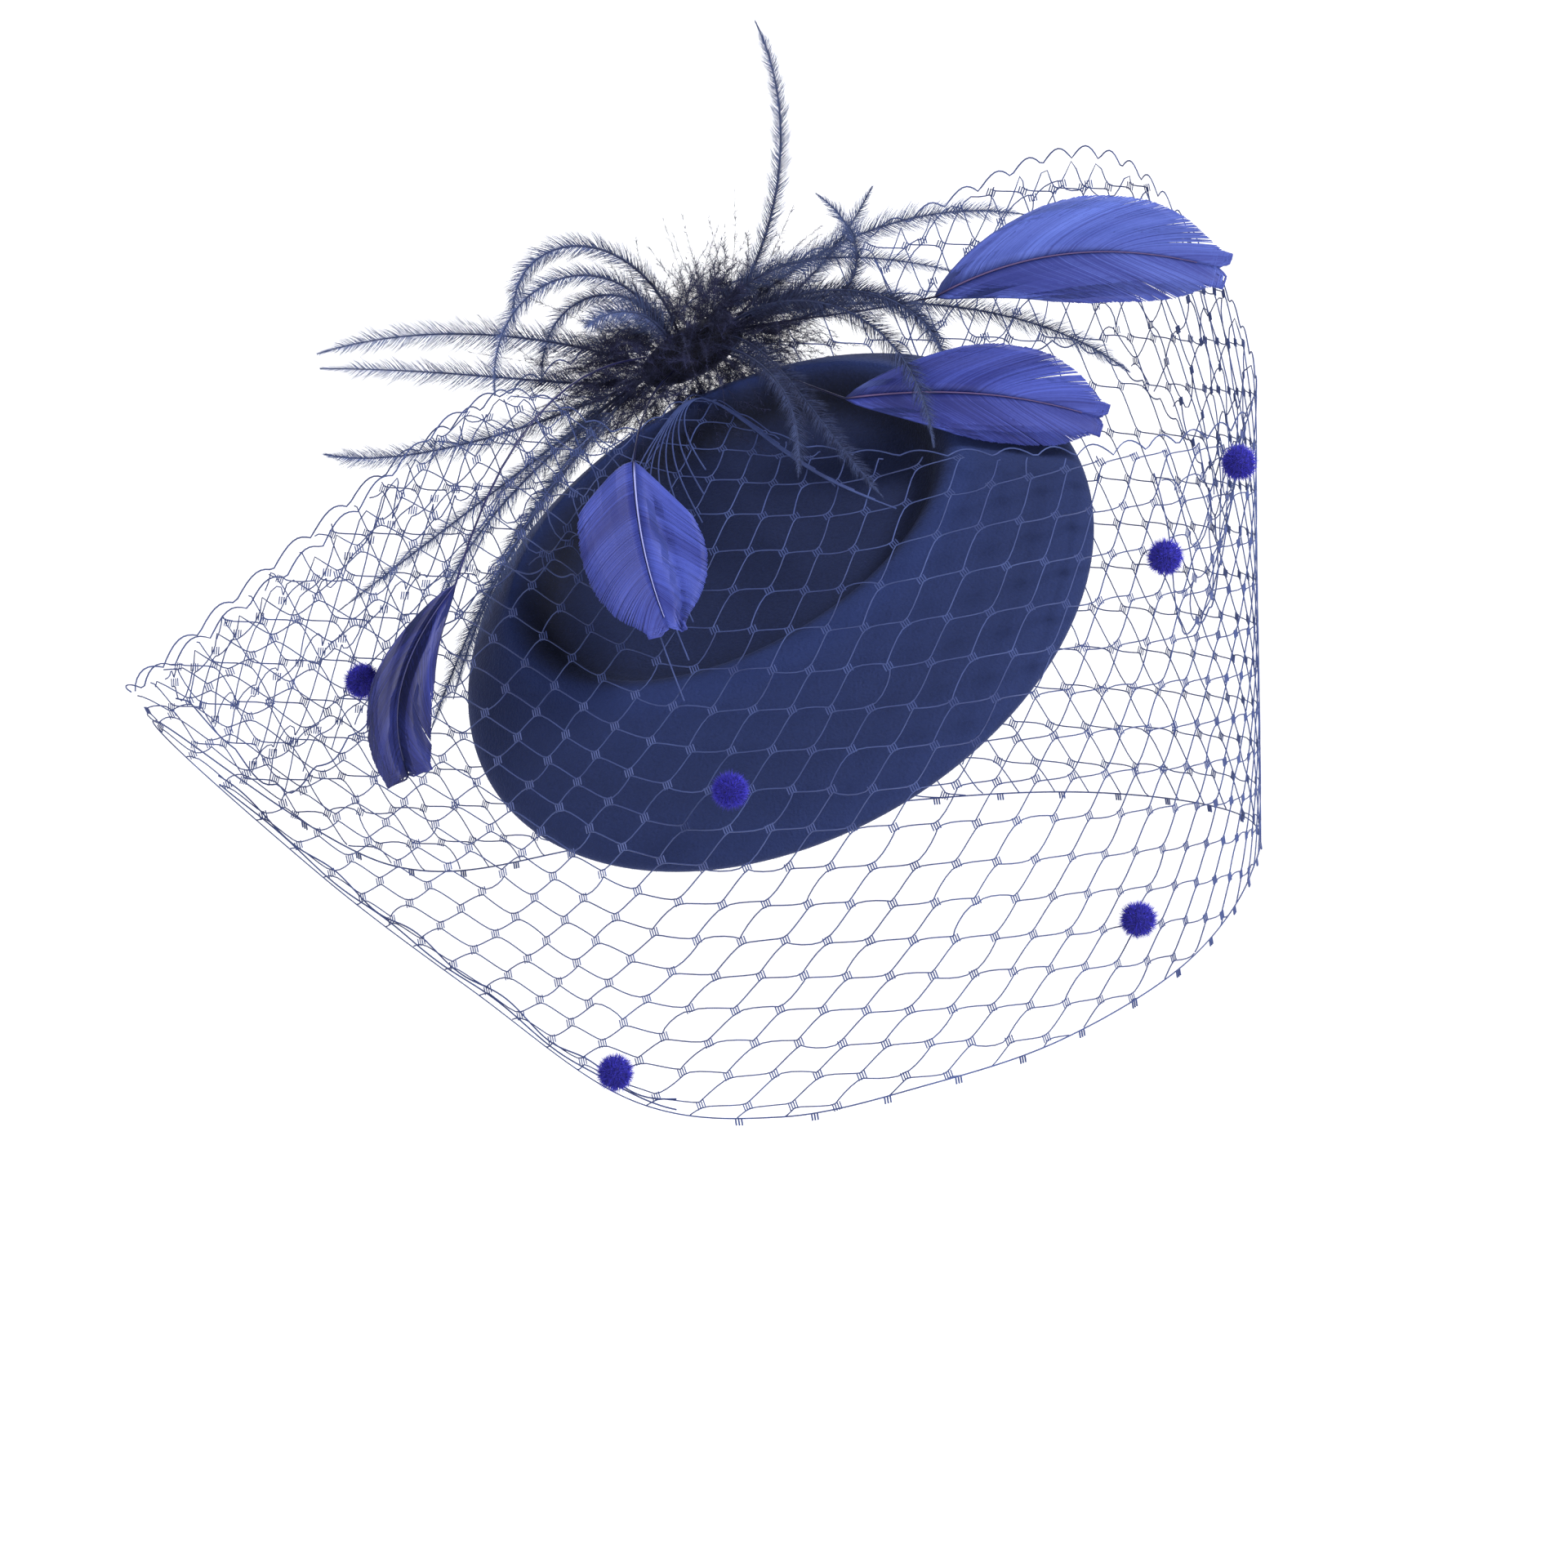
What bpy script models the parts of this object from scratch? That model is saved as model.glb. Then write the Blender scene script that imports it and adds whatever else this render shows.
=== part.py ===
"""A felt cocktail hat with a face veil, a feather plume, goose feathers and chenille dots.

It is shaped as it is worn, in metres, with +Z up. The origin is the middle of the felt's
seat on the head. The pieces are laid out as they are seen from the wearer's right front,
with +X to the right and +Y away, and are then turned so that the wearer faces -Y.
"""

import math

import bmesh
import bpy
import numpy as np
from mathutils import Matrix, Vector

# Stance
WEARER_TURN = math.radians(35.0)
FELT_ROLL = math.radians(29.0)
FELT_SLOPE = math.radians(47.2)
CLEARANCE = 0.0003

# Felt base: an oval saucer with a sunken oval dish towards its upper side
FELT_LENGTH = 0.185
FELT_WIDTH = 0.160
FELT_WALL = 0.0025
FELT_RISE = 0.018
DISH_LENGTH = 0.134
DISH_WIDTH = 0.092
DISH_OFFSET = 0.021
FELT_SIDES = 44

# Hair comb under the dish
COMB_WIDTH = 0.060
COMB_SPINE = 0.007
COMB_TEETH = 10
COMB_TOOTH_LENGTH = 0.028
COMB_THICKNESS = 0.0018

# Face veil: a closed loop of coarse net round the head, open above and below
VEIL_REACH = 0.181
VEIL_DEPTH = 0.165
VEIL_RISE = 0.125
VEIL_DROP = 0.130
NET_BAR = 0.0024
NET_THICKNESS = 0.0010
NET_COLUMNS = 33
NET_ROWS = 4
NET_SHEAR = 0.45
NET_MIDDLE = 0.6
NET_SAMPLES = 281
BAR_LIMIT = 0.3
FRILL_WIDTH = 0.052
FRILL_FLARE = 0.009
FRILL_LIMIT = 0.8

# Chenille dots
DOT_SIZE = 0.0104
DOT_LOCK = 0.0011

# Feather plume
PLUME_LENGTH = 0.066
PLUME_WIDTH = 0.030
PLUME_HEIGHT = 0.026
PLUME_ALONG = 0.013
PLUME_OVERLAP = 0.009
PLUME_ROOTS = 0.7
LOCK_RISE = 0.05
LOCKS_ALONG = 21.0
LOCKS_ACROSS = 17.0
FROND_REACH = 0.100
FROND_WIDTH = 0.0046
FROND_THICKNESS = 0.0013
FROND_STEPS = 9
FROND_TAPER = 0.65
FROND_FACING = (0.0, -1.0, 0.15)

# Goose feathers
BLADE_THICKNESS = 0.0009
STEM_WIDTH = 0.0015
STEM_STEPS = 8
STEM_START = 0.55
BLADE_CUP = 0.16
BLADE_TILT = 0.1

# Rings of the felt, from the turned-down edge to the floor of the dish.
# reach is 2 at the rim, 1 at the crest and 0 at the dish's middle.
# height is a share of FELT_RISE.
FELT_RINGS = (
    # reach, height
    (1.955, -0.17),
    (1.990, -0.05),
    (2.000, 0.08),
    (1.960, 0.22),
    (1.840, 0.40),
    (1.600, 0.62),
    (1.320, 0.84),
    (1.120, 0.97),
    (1.020, 1.00),
    (0.950, 0.94),
    (0.900, 0.76),
    (0.860, 0.52),
    (0.810, 0.42),
    (0.740, 0.40),
    (0.400, 0.40),
)

# Stations round the veil, from its left tip past the face and round the back.
# across is a share of VEIL_REACH and depth of VEIL_DEPTH. A top's height is a share of
# VEIL_RISE and a hem's of VEIL_DROP. reach and sag say where between the top and the hem
# the net bends: how far out, and how far down. The gathered top has no place of its own,
# because it sits on the felt's crest.
VEIL_STATIONS = (
    # top: across, depth, height; hem: across, depth, height; bend: reach, sag
    ((-1.00, 0.27, -0.20), (-0.97, 0.27, -0.25), (0.50, 0.50)),
    ((-0.73, 0.12, 0.10), (-0.71, 0.03, -0.55), (0.50, 0.40)),
    ((-0.45, 0.15, 0.46), (-0.46, -0.21, -0.78), (0.45, 0.12)),
    ((-0.24, 0.09, 0.39), (-0.22, -0.42, -0.98), (0.60, 0.12)),
    (None, (0.00, -0.53, -1.00), (0.72, 0.15)),
    ((0.05, 0.01, 0.36), (0.22, -0.55, -0.93), (0.72, 0.14)),
    ((0.30, -0.13, 0.35), (0.42, -0.44, -0.85), (0.72, 0.14)),
    ((0.55, -0.09, 0.36), (0.61, -0.21, -0.72), (0.60, 0.30)),
    ((0.73, 0.18, 0.45), (0.72, 0.09, -0.57), (0.50, 0.50)),
    ((0.66, 0.55, 0.79), (0.73, 0.52, -0.48), (0.90, 0.45)),
    ((0.49, 0.76, 1.00), (0.49, 0.88, -0.46), (0.90, 0.45)),
    ((0.19, 0.82, 0.84), (0.14, 1.00, -0.50), (0.90, 0.45)),
    ((-0.25, 0.72, 0.58), (-0.28, 0.91, -0.58), (0.90, 0.45)),
    ((-0.58, 0.53, 0.32), (-0.62, 0.64, -0.60), (0.70, 0.45)),
)
GATHER_STATION = 4
GATHER_ALONG = 0.009
GATHER_OFF_CREST = 0.001
FRILL_SPANS = {
    # first and last station of each turned-in frill
    "veil_frill_left": (0.40, 2.60),
    "veil_frill_right": (7.40, 10.60),
}

# Chenille dots on the net, by station and by share of the way down to the hem. The net's
# bars are drawn under them, over this many columns to each side.
DOT_PULL = 3
VEIL_DOTS = (
    # station, drop
    (7.55, 0.07),
    (6.93, 0.30),
    (6.48, 0.90),
    (2.97, 0.98),
    (3.81, 0.70),
    (1.37, 0.56),
)

# Fronds of the plume. root is the share of half the plume's length where a frond leaves
# it. The three points that bend and end it are shares of FROND_REACH, and width is a
# share of FROND_WIDTH.
FRONDS = (
    # root, first bend, second bend, tip, width
    (0.1, (0.00, 0.45, 0.95), (0.07, 0.45, 1.35), (-0.07, 0.42, 1.63), 0.9),
    (-0.1, (-0.37, 0.45, 1.12), (-0.78, 0.42, 1.06), (-0.74, 0.36, 0.79), 1.1),
    (-0.3, (-0.37, 0.38, 1.06), (-0.83, 0.28, 0.97), (-0.79, 0.22, 0.59), 1.0),
    (-0.2, (-0.35, 0.55, 0.95), (-0.69, 0.60, 0.92), (-0.67, 0.60, 0.61), 0.9),
    (-0.2, (-0.33, 0.25, 0.83), (-0.44, 0.20, 0.86), (-0.54, 0.18, 0.78), 1.5),
    (-0.5, (-0.44, 0.50, 0.70), (-0.89, 0.58, 0.83), (-1.30, 0.54, 0.70), 1.4),
    (-0.6, (-0.48, 0.48, 0.58), (-0.80, 0.47, 0.66), (-1.29, 0.50, 0.66), 1.3),
    (-0.7, (-0.52, 0.42, 0.56), (-1.02, 0.46, 0.36), (-1.28, 0.50, 0.42), 1.2),
    (-0.8, (-0.56, 0.36, 0.50), (-0.89, 0.38, 0.25), (-1.24, 0.45, -0.02), 0.8),
    (-0.8, (-0.60, 0.31, 0.46), (-0.85, 0.28, 0.27), (-0.96, 0.26, -0.02), 0.9),
    (-0.8, (-0.58, 0.24, 0.46), (-0.82, 0.14, 0.11), (-0.97, 0.06, -0.35), 0.9),
    (-0.7, (-0.54, 0.20, 0.46), (-0.80, 0.14, 0.18), (-0.90, 0.02, -0.24), 0.9),
    (0.3, (-0.15, 0.35, 0.95), (0.10, 0.32, 1.03), (0.50, 0.36, 0.93), 1.1),
    (0.6, (0.24, 0.30, 0.78), (0.30, 0.26, 1.01), (0.10, 0.30, 1.15), 0.9),
    (0.5, (0.01, 0.55, 0.82), (0.15, 0.62, 0.95), (0.26, 0.66, 1.17), 1.0),
    (0.4, (-0.01, 0.55, 0.95), (0.33, 0.62, 1.15), (0.69, 0.68, 1.09), 1.2),
    (0.5, (0.01, 0.18, 0.92), (0.42, 0.00, 0.97), (0.47, -0.08, 0.63), 1.2),
    (0.6, (0.06, 0.28, 0.90), (0.39, 0.18, 0.92), (0.44, 0.10, 0.72), 1.0),
    (0.8, (0.12, 0.45, 0.86), (0.66, 0.52, 0.90), (0.98, 0.48, 0.65), 1.2),
    (0.3, (-0.01, 0.12, 0.95), (0.37, -0.08, 0.88), (0.42, -0.20, 0.46), 1.2),
    (0.4, (-0.02, 0.10, 0.76), (0.07, -0.10, 0.56), (0.28, -0.34, 0.33), 1.0),
    (0.2, (-0.05, 0.05, 0.72), (0.07, -0.12, 0.62), (0.05, -0.22, 0.38), 1.0),
)

# Goose feathers. The stem runs from the plume to the quill, and the blade's spine from
# the quill to the tip. Points are shares of FROND_REACH, and face is the way the blade
# looks. width is a share of the blade's length, and twist turns the blade to one side.
GOOSE_FEATHERS = {
    # stem points, spine points, width, twist in degrees, outline
    "goose_feather_1": (
        ((-0.06, 0.40, 0.80), (0.15, 0.30, 0.80)),
        ((0.43, 0.20, 0.865), (0.80, 0.14, 0.985), (1.21, 0.12, 0.945)),
        0.41, 0.0, "long",
    ),
    "goose_feather_2": (
        ((-0.16, 0.36, 0.72), (-0.04, 0.18, 0.66)),
        ((0.18, -0.04, 0.59), (0.54, -0.12, 0.605), (0.87, -0.14, 0.54)),
        0.42, 0.0, "long",
    ),
    "goose_feather_3": (
        ((-0.33, 0.38, 0.62), (-0.38, 0.10, 0.60)),
        ((-0.40, -0.14, 0.42), (-0.37, -0.31, 0.19), (-0.30, -0.46, -0.02)),
        0.63, 12.0, "round",
    ),
    "goose_feather_4": (
        ((-0.48, 0.30, 0.68), (-0.72, -0.10, 0.66)),
        ((-0.89, -0.10, 0.08), (-1.03, -0.24, -0.18), (-1.01, -0.33, -0.42)),
        0.33, 0.0, "blunt",
    ),
}

# Outlines of a blade: share of the way along it, and half widths left and right of the
# spine as shares of the blade's width.
BLADE_OUTLINES = {
    # along, left, right
    "long": (
        (0.06, 0.10, 0.10),
        (0.18, 0.22, 0.20),
        (0.35, 0.40, 0.36),
        (0.55, 0.50, 0.44),
        (0.75, 0.48, 0.42),
        (0.90, 0.34, 0.34),
        (1.00, 0.12, 0.14),
    ),
    "blunt": (
        (0.05, 0.10, 0.10),
        (0.18, 0.26, 0.20),
        (0.35, 0.42, 0.36),
        (0.55, 0.50, 0.44),
        (0.75, 0.50, 0.46),
        (0.92, 0.44, 0.42),
        (1.00, 0.34, 0.36),
    ),
    "round": (
        (0.03, 0.12, 0.14),
        (0.12, 0.30, 0.34),
        (0.30, 0.46, 0.48),
        (0.50, 0.52, 0.50),
        (0.70, 0.46, 0.46),
        (0.88, 0.30, 0.34),
        (1.00, 0.12, 0.16),
    ),
}

MATERIALS = {
    # colour, roughness, metallic
    "navy_felt": ((0.020, 0.040, 0.135), 0.95, 0.0),
    "comb_plastic": ((0.030, 0.030, 0.035), 0.45, 0.0),
    "navy_net": ((0.030, 0.040, 0.130), 0.70, 0.0),
    "chenille": ((0.025, 0.025, 0.330), 0.95, 0.0),
    "navy_plume": ((0.025, 0.040, 0.120), 0.85, 0.0),
    "goose_blue": ((0.050, 0.075, 0.380), 0.60, 0.0),
}


def clear_scene():
    """Remove every object that the file starts with."""
    for thing in list(bpy.data.objects):
        bpy.data.objects.remove(thing)


def new_collection(name):
    """A collection of its own in the scene."""
    group = bpy.data.collections.new(name)
    bpy.context.scene.collection.children.link(group)
    return group


def new_material(name):
    """A Principled material from the table of finishes."""
    colour, roughness, metallic = MATERIALS[name]
    material = bpy.data.materials.new(name)
    material.use_nodes = True
    shader = material.node_tree.nodes["Principled BSDF"]
    shader.inputs["Base Color"].default_value = (*colour, 1.0)
    shader.inputs["Roughness"].default_value = roughness
    shader.inputs["Metallic"].default_value = metallic
    return material


def add_object(name, data, group, parent):
    """Link new data as a named object under the turned empty."""
    thing = bpy.data.objects.new(name, data)
    group.objects.link(thing)
    thing.parent = parent
    return thing


def mesh_from(name, points, faces):
    """A smooth mesh from points and faces that a loop has worked out."""
    mesh = bpy.data.meshes.new(name)
    mesh.from_pydata([tuple(point) for point in points], [], faces)
    mesh.shade_smooth()
    return mesh


def thicken(thing, thickness, offset):
    """Give an open sheet its wall."""
    wall = thing.modifiers.new("wall", "SOLIDIFY")
    wall.thickness = thickness
    wall.offset = offset


def felt_frame():
    """Turn from the felt's own axes, long, short and normal, to the layout's."""
    roll = Matrix.Rotation(-FELT_ROLL, 4, "Y")
    return roll @ Matrix.Rotation(FELT_SLOPE, 4, "X")


def felt_oval(reach):
    """Middle and half axes of the felt's ring at this reach."""
    if reach <= 1.0:
        return DISH_OFFSET, reach * DISH_LENGTH / 2, reach * DISH_WIDTH / 2
    out = reach - 1.0
    middle = DISH_OFFSET * (1.0 - out)
    half_length = (DISH_LENGTH + out * (FELT_LENGTH - DISH_LENGTH)) / 2
    half_width = (DISH_WIDTH + out * (FELT_WIDTH - DISH_WIDTH)) / 2
    return middle, half_length, half_width


def felt_top(along, across):
    """Point on the felt's upper surface over a place in its own plane."""
    low, high = 0.0, 2.0
    for _ in range(30):
        reach = (low + high) / 2
        middle, half_length, half_width = felt_oval(reach)
        inside = math.hypot(along / half_length, (across - middle) / half_width) < 1.0
        low, high = (low, reach) if inside else (reach, high)
    rings = sorted(FELT_RINGS[2:])
    height = np.interp(reach, [ring[0] for ring in rings], [ring[1] for ring in rings])
    return Vector((along, across, height * FELT_RISE))


def felt_sheet(name, lift):
    """The felt's upper surface, lifted along its normal, as an open mesh."""
    points = []
    for reach, height in FELT_RINGS:
        middle, half_length, half_width = felt_oval(reach)
        for side in range(FELT_SIDES):
            angle = math.tau * side / FELT_SIDES
            spread = lift if reach > 1.0 else -lift
            points.append((
                (half_length + spread) * math.cos(angle),
                middle + (half_width + spread) * math.sin(angle),
                height * FELT_RISE + lift,
            ))
    faces = []
    for ring in range(len(FELT_RINGS) - 1):
        for side in range(FELT_SIDES):
            after = (side + 1) % FELT_SIDES
            start, inner = ring * FELT_SIDES, (ring + 1) * FELT_SIDES
            faces.append((start + side, start + after, inner + after, inner + side))
    last = (len(FELT_RINGS) - 1) * FELT_SIDES
    points.append((0.0, DISH_OFFSET, FELT_RINGS[-1][1] * FELT_RISE + lift))
    for side in range(FELT_SIDES):
        after = (side + 1) % FELT_SIDES
        faces.append((last + side, last + after, len(points) - 1))
    return mesh_from(name, points, faces)


def make_felt(group, parent):
    """The felt saucer: a hollow shell, open underneath."""
    felt = add_object("felt_base", felt_sheet("felt_base", 0.0), group, parent)
    felt.matrix_local = felt_frame()
    thicken(felt, FELT_WALL, -1.0)
    felt.data.materials.append(new_material("navy_felt"))


def make_comb(group, parent):
    """The hair comb: one flat outline with its teeth, sewn flat under the dish."""
    pitch = COMB_WIDTH / (2 * COMB_TEETH - 1)
    outline = [(-COMB_WIDTH / 2, -COMB_SPINE), (COMB_WIDTH / 2, -COMB_SPINE)]
    for tooth in range(COMB_TEETH):
        right = COMB_WIDTH / 2 - 2 * pitch * tooth
        left = right - pitch
        outline += [
            (right, 0.0),
            (right - pitch / 4, COMB_TOOTH_LENGTH),
            (left + pitch / 4, COMB_TOOTH_LENGTH),
            (left, 0.0),
        ]
    curve = bpy.data.curves.new("hair_comb", "CURVE")
    curve.dimensions = "2D"
    curve.fill_mode = "BOTH"
    curve.extrude = COMB_THICKNESS / 2
    spline = curve.splines.new("POLY")
    spline.points.add(len(outline) - 1)
    for point, (along, across) in zip(spline.points, outline):
        point.co = (along, across, 0.0, 1.0)
    spline.use_cyclic_u = True
    comb = add_object("hair_comb", curve, group, parent)
    floor = FELT_RINGS[-1][1] * FELT_RISE
    under = floor - FELT_WALL - CLEARANCE - COMB_THICKNESS / 2
    comb.matrix_local = felt_frame() @ Matrix.Translation((0.0, 0.0, under))
    comb.data.materials.append(new_material("comb_plastic"))


def ring_curve(values, station):
    """Point on a closed smooth curve through the values, a station apart."""
    first = math.floor(station)
    t = station - first
    a, b, c, d = (values[(first + step) % len(values)] for step in (-1, 0, 1, 2))
    bend = 2 * a - 5 * b + 4 * c - d
    return 0.5 * (2 * b + t * (c - a) + t * t * bend + t ** 3 * (3 * b - a - 3 * c + d))


def veil_rails():
    """Points of the veil's top, bend and hem at each station."""
    tops, bends, hems = [], [], []
    for top_share, hem_share, (reach, sag) in VEIL_STATIONS:
        hem = Vector((
            hem_share[0] * VEIL_REACH, hem_share[1] * VEIL_DEPTH, hem_share[2] * VEIL_DROP
        ))
        if top_share is None:
            crest = DISH_OFFSET + DISH_WIDTH / 2 - GATHER_OFF_CREST
            seat = felt_top(GATHER_ALONG, crest)
            seat.z += NET_THICKNESS / 2 + NET_BAR / 8 + CLEARANCE
            top = felt_frame() @ seat
        else:
            top = Vector((
                top_share[0] * VEIL_REACH, top_share[1] * VEIL_DEPTH, top_share[2] * VEIL_RISE
            ))
        bend = top.lerp(hem, reach)
        bend.z = top.z + sag * (hem.z - top.z)
        tops.append(top)
        bends.append(bend)
        hems.append(hem)
    return tops, bends, hems


def veil_point(rails, station, drop):
    """Point on the veil's surface, from its top at 0 to its hem at 1."""
    top, bend, hem = (ring_curve(rail, station) for rail in rails)
    return (1 - drop) ** 2 * top + 2 * drop * (1 - drop) * bend + drop ** 2 * hem


def veil_normal(rails, station, drop):
    """Outward normal of the veil's surface."""
    step = 0.02
    low, high = max(drop - step, 0.0), min(drop + step, 1.0)
    along = veil_point(rails, station + step, drop) - veil_point(rails, station - step, drop)
    down = veil_point(rails, station, high) - veil_point(rails, station, low)
    return down.cross(along).normalized()


def even_stations(rails, first, last, columns):
    """Stations that lie an equal way apart round the middle of the veil."""
    samples = np.linspace(first, last, NET_SAMPLES).tolist()
    middle = [veil_point(rails, station, NET_MIDDLE) for station in samples]
    steps = [(b - a).length for a, b in zip(middle, middle[1:])]
    travel = np.concatenate([[0.0], np.cumsum(steps)])
    return [
        float(np.interp(travel[-1] * column / columns, travel, samples))
        for column in range(columns + 1)
    ]


def station_gap(station, other):
    """How far round the closed veil one station lies past another."""
    half = len(VEIL_STATIONS) / 2
    return (station - other + half) % (2 * half) - half


def net_crossings(columns):
    """Station of each crossing, and the bar under each dot: its column, row and share."""
    stations = {}
    for row in range(NET_ROWS + 1):
        for column in range(NET_COLUMNS):
            place = (column + NET_SHEAR * row) % NET_COLUMNS
            stations[column, row] = float(np.interp(place, range(NET_COLUMNS + 1), columns))
    seats = []
    for station, drop in VEIL_DOTS:
        row = min(int(drop * NET_ROWS), NET_ROWS - 1)
        share = drop * NET_ROWS - row

        def miss(column):
            upper, lower = stations[column, row], stations[column, row + 1]
            return station_gap(station, upper + share * station_gap(lower, upper))

        nearest = min(range(NET_COLUMNS), key=lambda column: abs(miss(column)))
        shift = miss(nearest)
        for near in range(-DOT_PULL, DOT_PULL + 1):
            pull = shift * (1 - abs(near) / (DOT_PULL + 1))
            for end in (row, row + 1):
                stations[(nearest + near) % NET_COLUMNS, end] += pull
        seats.append((nearest, row, share))
    return stations, seats


def net_panel(name, crossing, columns, rows, closed):
    """A pierced sheet: four bars round each opening, all in one surface."""
    points, faces, index = [], [], {}

    def vertex(column, row):
        key = (column % columns if closed else column, row)
        if key not in index:
            index[key] = len(points)
            points.append(crossing(*key))
        return index[key]

    for column in range(columns):
        for row in range(rows):
            corners = [
                vertex(column, row), vertex(column, row + 1),
                vertex(column + 1, row + 1), vertex(column + 1, row),
            ]
            ring = [points[corner] for corner in corners]
            edge = [
                NET_BAR if not closed and column == 0 else NET_BAR / 2,
                NET_BAR if row == rows - 1 else NET_BAR / 2,
                NET_BAR if not closed and column == columns - 1 else NET_BAR / 2,
                NET_BAR if row == 0 else NET_BAR / 2,
            ]
            inner = []
            for side in range(4):
                here = ring[side]
                after, before = ring[(side + 1) % 4] - here, ring[side - 1] - here
                out = min(BAR_LIMIT, edge[side - 1] / max(after.length, NET_BAR))
                back = min(BAR_LIMIT, edge[side] / max(before.length, NET_BAR))
                inner.append(len(points))
                points.append(here + out * after + back * before)
            for side in range(4):
                after = (side + 1) % 4
                faces.append((corners[side], corners[after], inner[after], inner[side]))
    return mesh_from(name, points, faces)


def make_veil(group, parent):
    """The veil's closed loop of net, with its bars under the dots."""
    rails = veil_rails()
    last = GATHER_STATION + len(VEIL_STATIONS)
    columns = even_stations(rails, GATHER_STATION, last, NET_COLUMNS)
    stations, seats = net_crossings(columns)

    def crossing(column, row):
        return veil_point(rails, stations[column, row], row / NET_ROWS)

    mesh = net_panel("veil_net", crossing, NET_COLUMNS, NET_ROWS, True)
    veil = add_object("veil_net", mesh, group, parent)
    thicken(veil, NET_THICKNESS, 0.0)
    veil.data.materials.append(new_material("navy_net"))
    make_frills(rails, stations, veil.data.materials[0], group, parent)
    make_dots(rails, crossing, seats, group, parent)


def make_frills(rails, stations, net_material, group, parent):
    """Turned-in bands of net that hang inside the veil's top edge."""
    for name, (first, last) in FRILL_SPANS.items():
        tops = [stations[column, 0] % len(VEIL_STATIONS) for column in range(NET_COLUMNS)]
        tops = [station for station in tops if first <= station <= last]

        def crossing(column, row):
            station = tops[column]
            length = (veil_point(rails, station, 1.0) - veil_point(rails, station, 0.0)).length
            drop = row * min(FRILL_LIMIT, FRILL_WIDTH / length)
            inset = NET_THICKNESS + 2 * CLEARANCE + row * FRILL_FLARE
            return veil_point(rails, station, drop) - inset * veil_normal(rails, station, drop)

        mesh = net_panel(name, crossing, len(tops) - 1, 1, False)
        frill = add_object(name, mesh, group, parent)
        thicken(frill, NET_THICKNESS, 0.0)
        frill.data.materials.append(net_material)


def make_dots(rails, crossing, seats, group, parent):
    """Chenille dots: a core with its locks raised, one lock towards the net."""
    material = new_material("chenille")
    places = zip(VEIL_DOTS, seats)
    for number, ((station, drop), (column, row, share)) in enumerate(places, start=1):
        shape = bmesh.new()
        bmesh.ops.create_icosphere(shape, subdivisions=2, radius=DOT_SIZE / 2)
        for vertex in shape.verts:
            if len(vertex.link_edges) > 5:
                vertex.co *= 1.0 - 2 * DOT_LOCK / DOT_SIZE
        mesh = bpy.data.meshes.new("veil_dot")
        shape.to_mesh(mesh)
        shape.free()
        dot = add_object(f"veil_dot_{number}", mesh, group, parent)
        normal = veil_normal(rails, station, drop)
        lift = DOT_SIZE / 2 + NET_THICKNESS / 2 + CLEARANCE
        dot.location = crossing(column, row).lerp(crossing(column, row + 1), share) + lift * normal
        dot.rotation_mode = "QUATERNION"
        dot.rotation_quaternion = normal.to_track_quat("Z", "Y")
        dot.data.materials.append(material)


def cubic(points, t):
    """Point on a cubic curve with four control points."""
    a, b, c, d = points
    s = 1.0 - t
    return s ** 3 * a + 3 * s * s * t * b + 3 * s * t * t * c + t ** 3 * d


def strip(path, widths, thickness, facing):
    """Points and faces of a closed, four-sided strip along a path."""
    points, faces = [], []
    for step, (point, width) in enumerate(zip(path, widths)):
        ahead = path[min(step + 1, len(path) - 1)] - path[max(step - 1, 0)]
        across = ahead.cross(facing).normalized()
        up = across.cross(ahead).normalized()
        for side, rise in ((width / 2, 0), (0, thickness / 2), (-width / 2, 0), (0, -thickness / 2)):
            points.append(point + side * across + rise * up)
    for step in range(len(path) - 1):
        for corner in range(4):
            after = (corner + 1) % 4
            start, ahead = 4 * step, 4 * (step + 1)
            faces.append((start + corner, start + after, ahead + after, ahead + corner))
    faces.append((3, 2, 1, 0))
    faces.append(tuple(4 * (len(path) - 1) + corner for corner in range(4)))
    return points, faces


def outward(mesh):
    """Turn every face of a closed mesh outwards."""
    shape = bmesh.new()
    shape.from_mesh(mesh)
    bmesh.ops.recalc_face_normals(shape, faces=shape.faces)
    shape.to_mesh(mesh)
    shape.free()


def plume_place():
    """Turn and place of the plume's head over the felt's upper rim."""
    across = FELT_WIDTH / 2 + PLUME_WIDTH / 2 - PLUME_OVERLAP
    height = felt_top(PLUME_ALONG, FELT_WIDTH / 2 - PLUME_OVERLAP / 2).z + PLUME_HEIGHT / 4
    return felt_frame() @ Matrix.Translation((PLUME_ALONG, across, height))


def add_boolean(thing, operation, source):
    """Join or cut with every object of a collection."""
    change = thing.modifiers.new(source.name, "BOOLEAN")
    change.operation = operation
    change.solver = "EXACT"
    change.operand_type = "COLLECTION"
    change.collection = source


def make_cutter(name, mesh, group, parent):
    """A shape that only joins or cuts, shown as wire."""
    cutter = add_object(name, mesh, group, parent)
    cutter.hide_render = True
    cutter.display_type = "WIRE"
    return cutter


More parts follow.
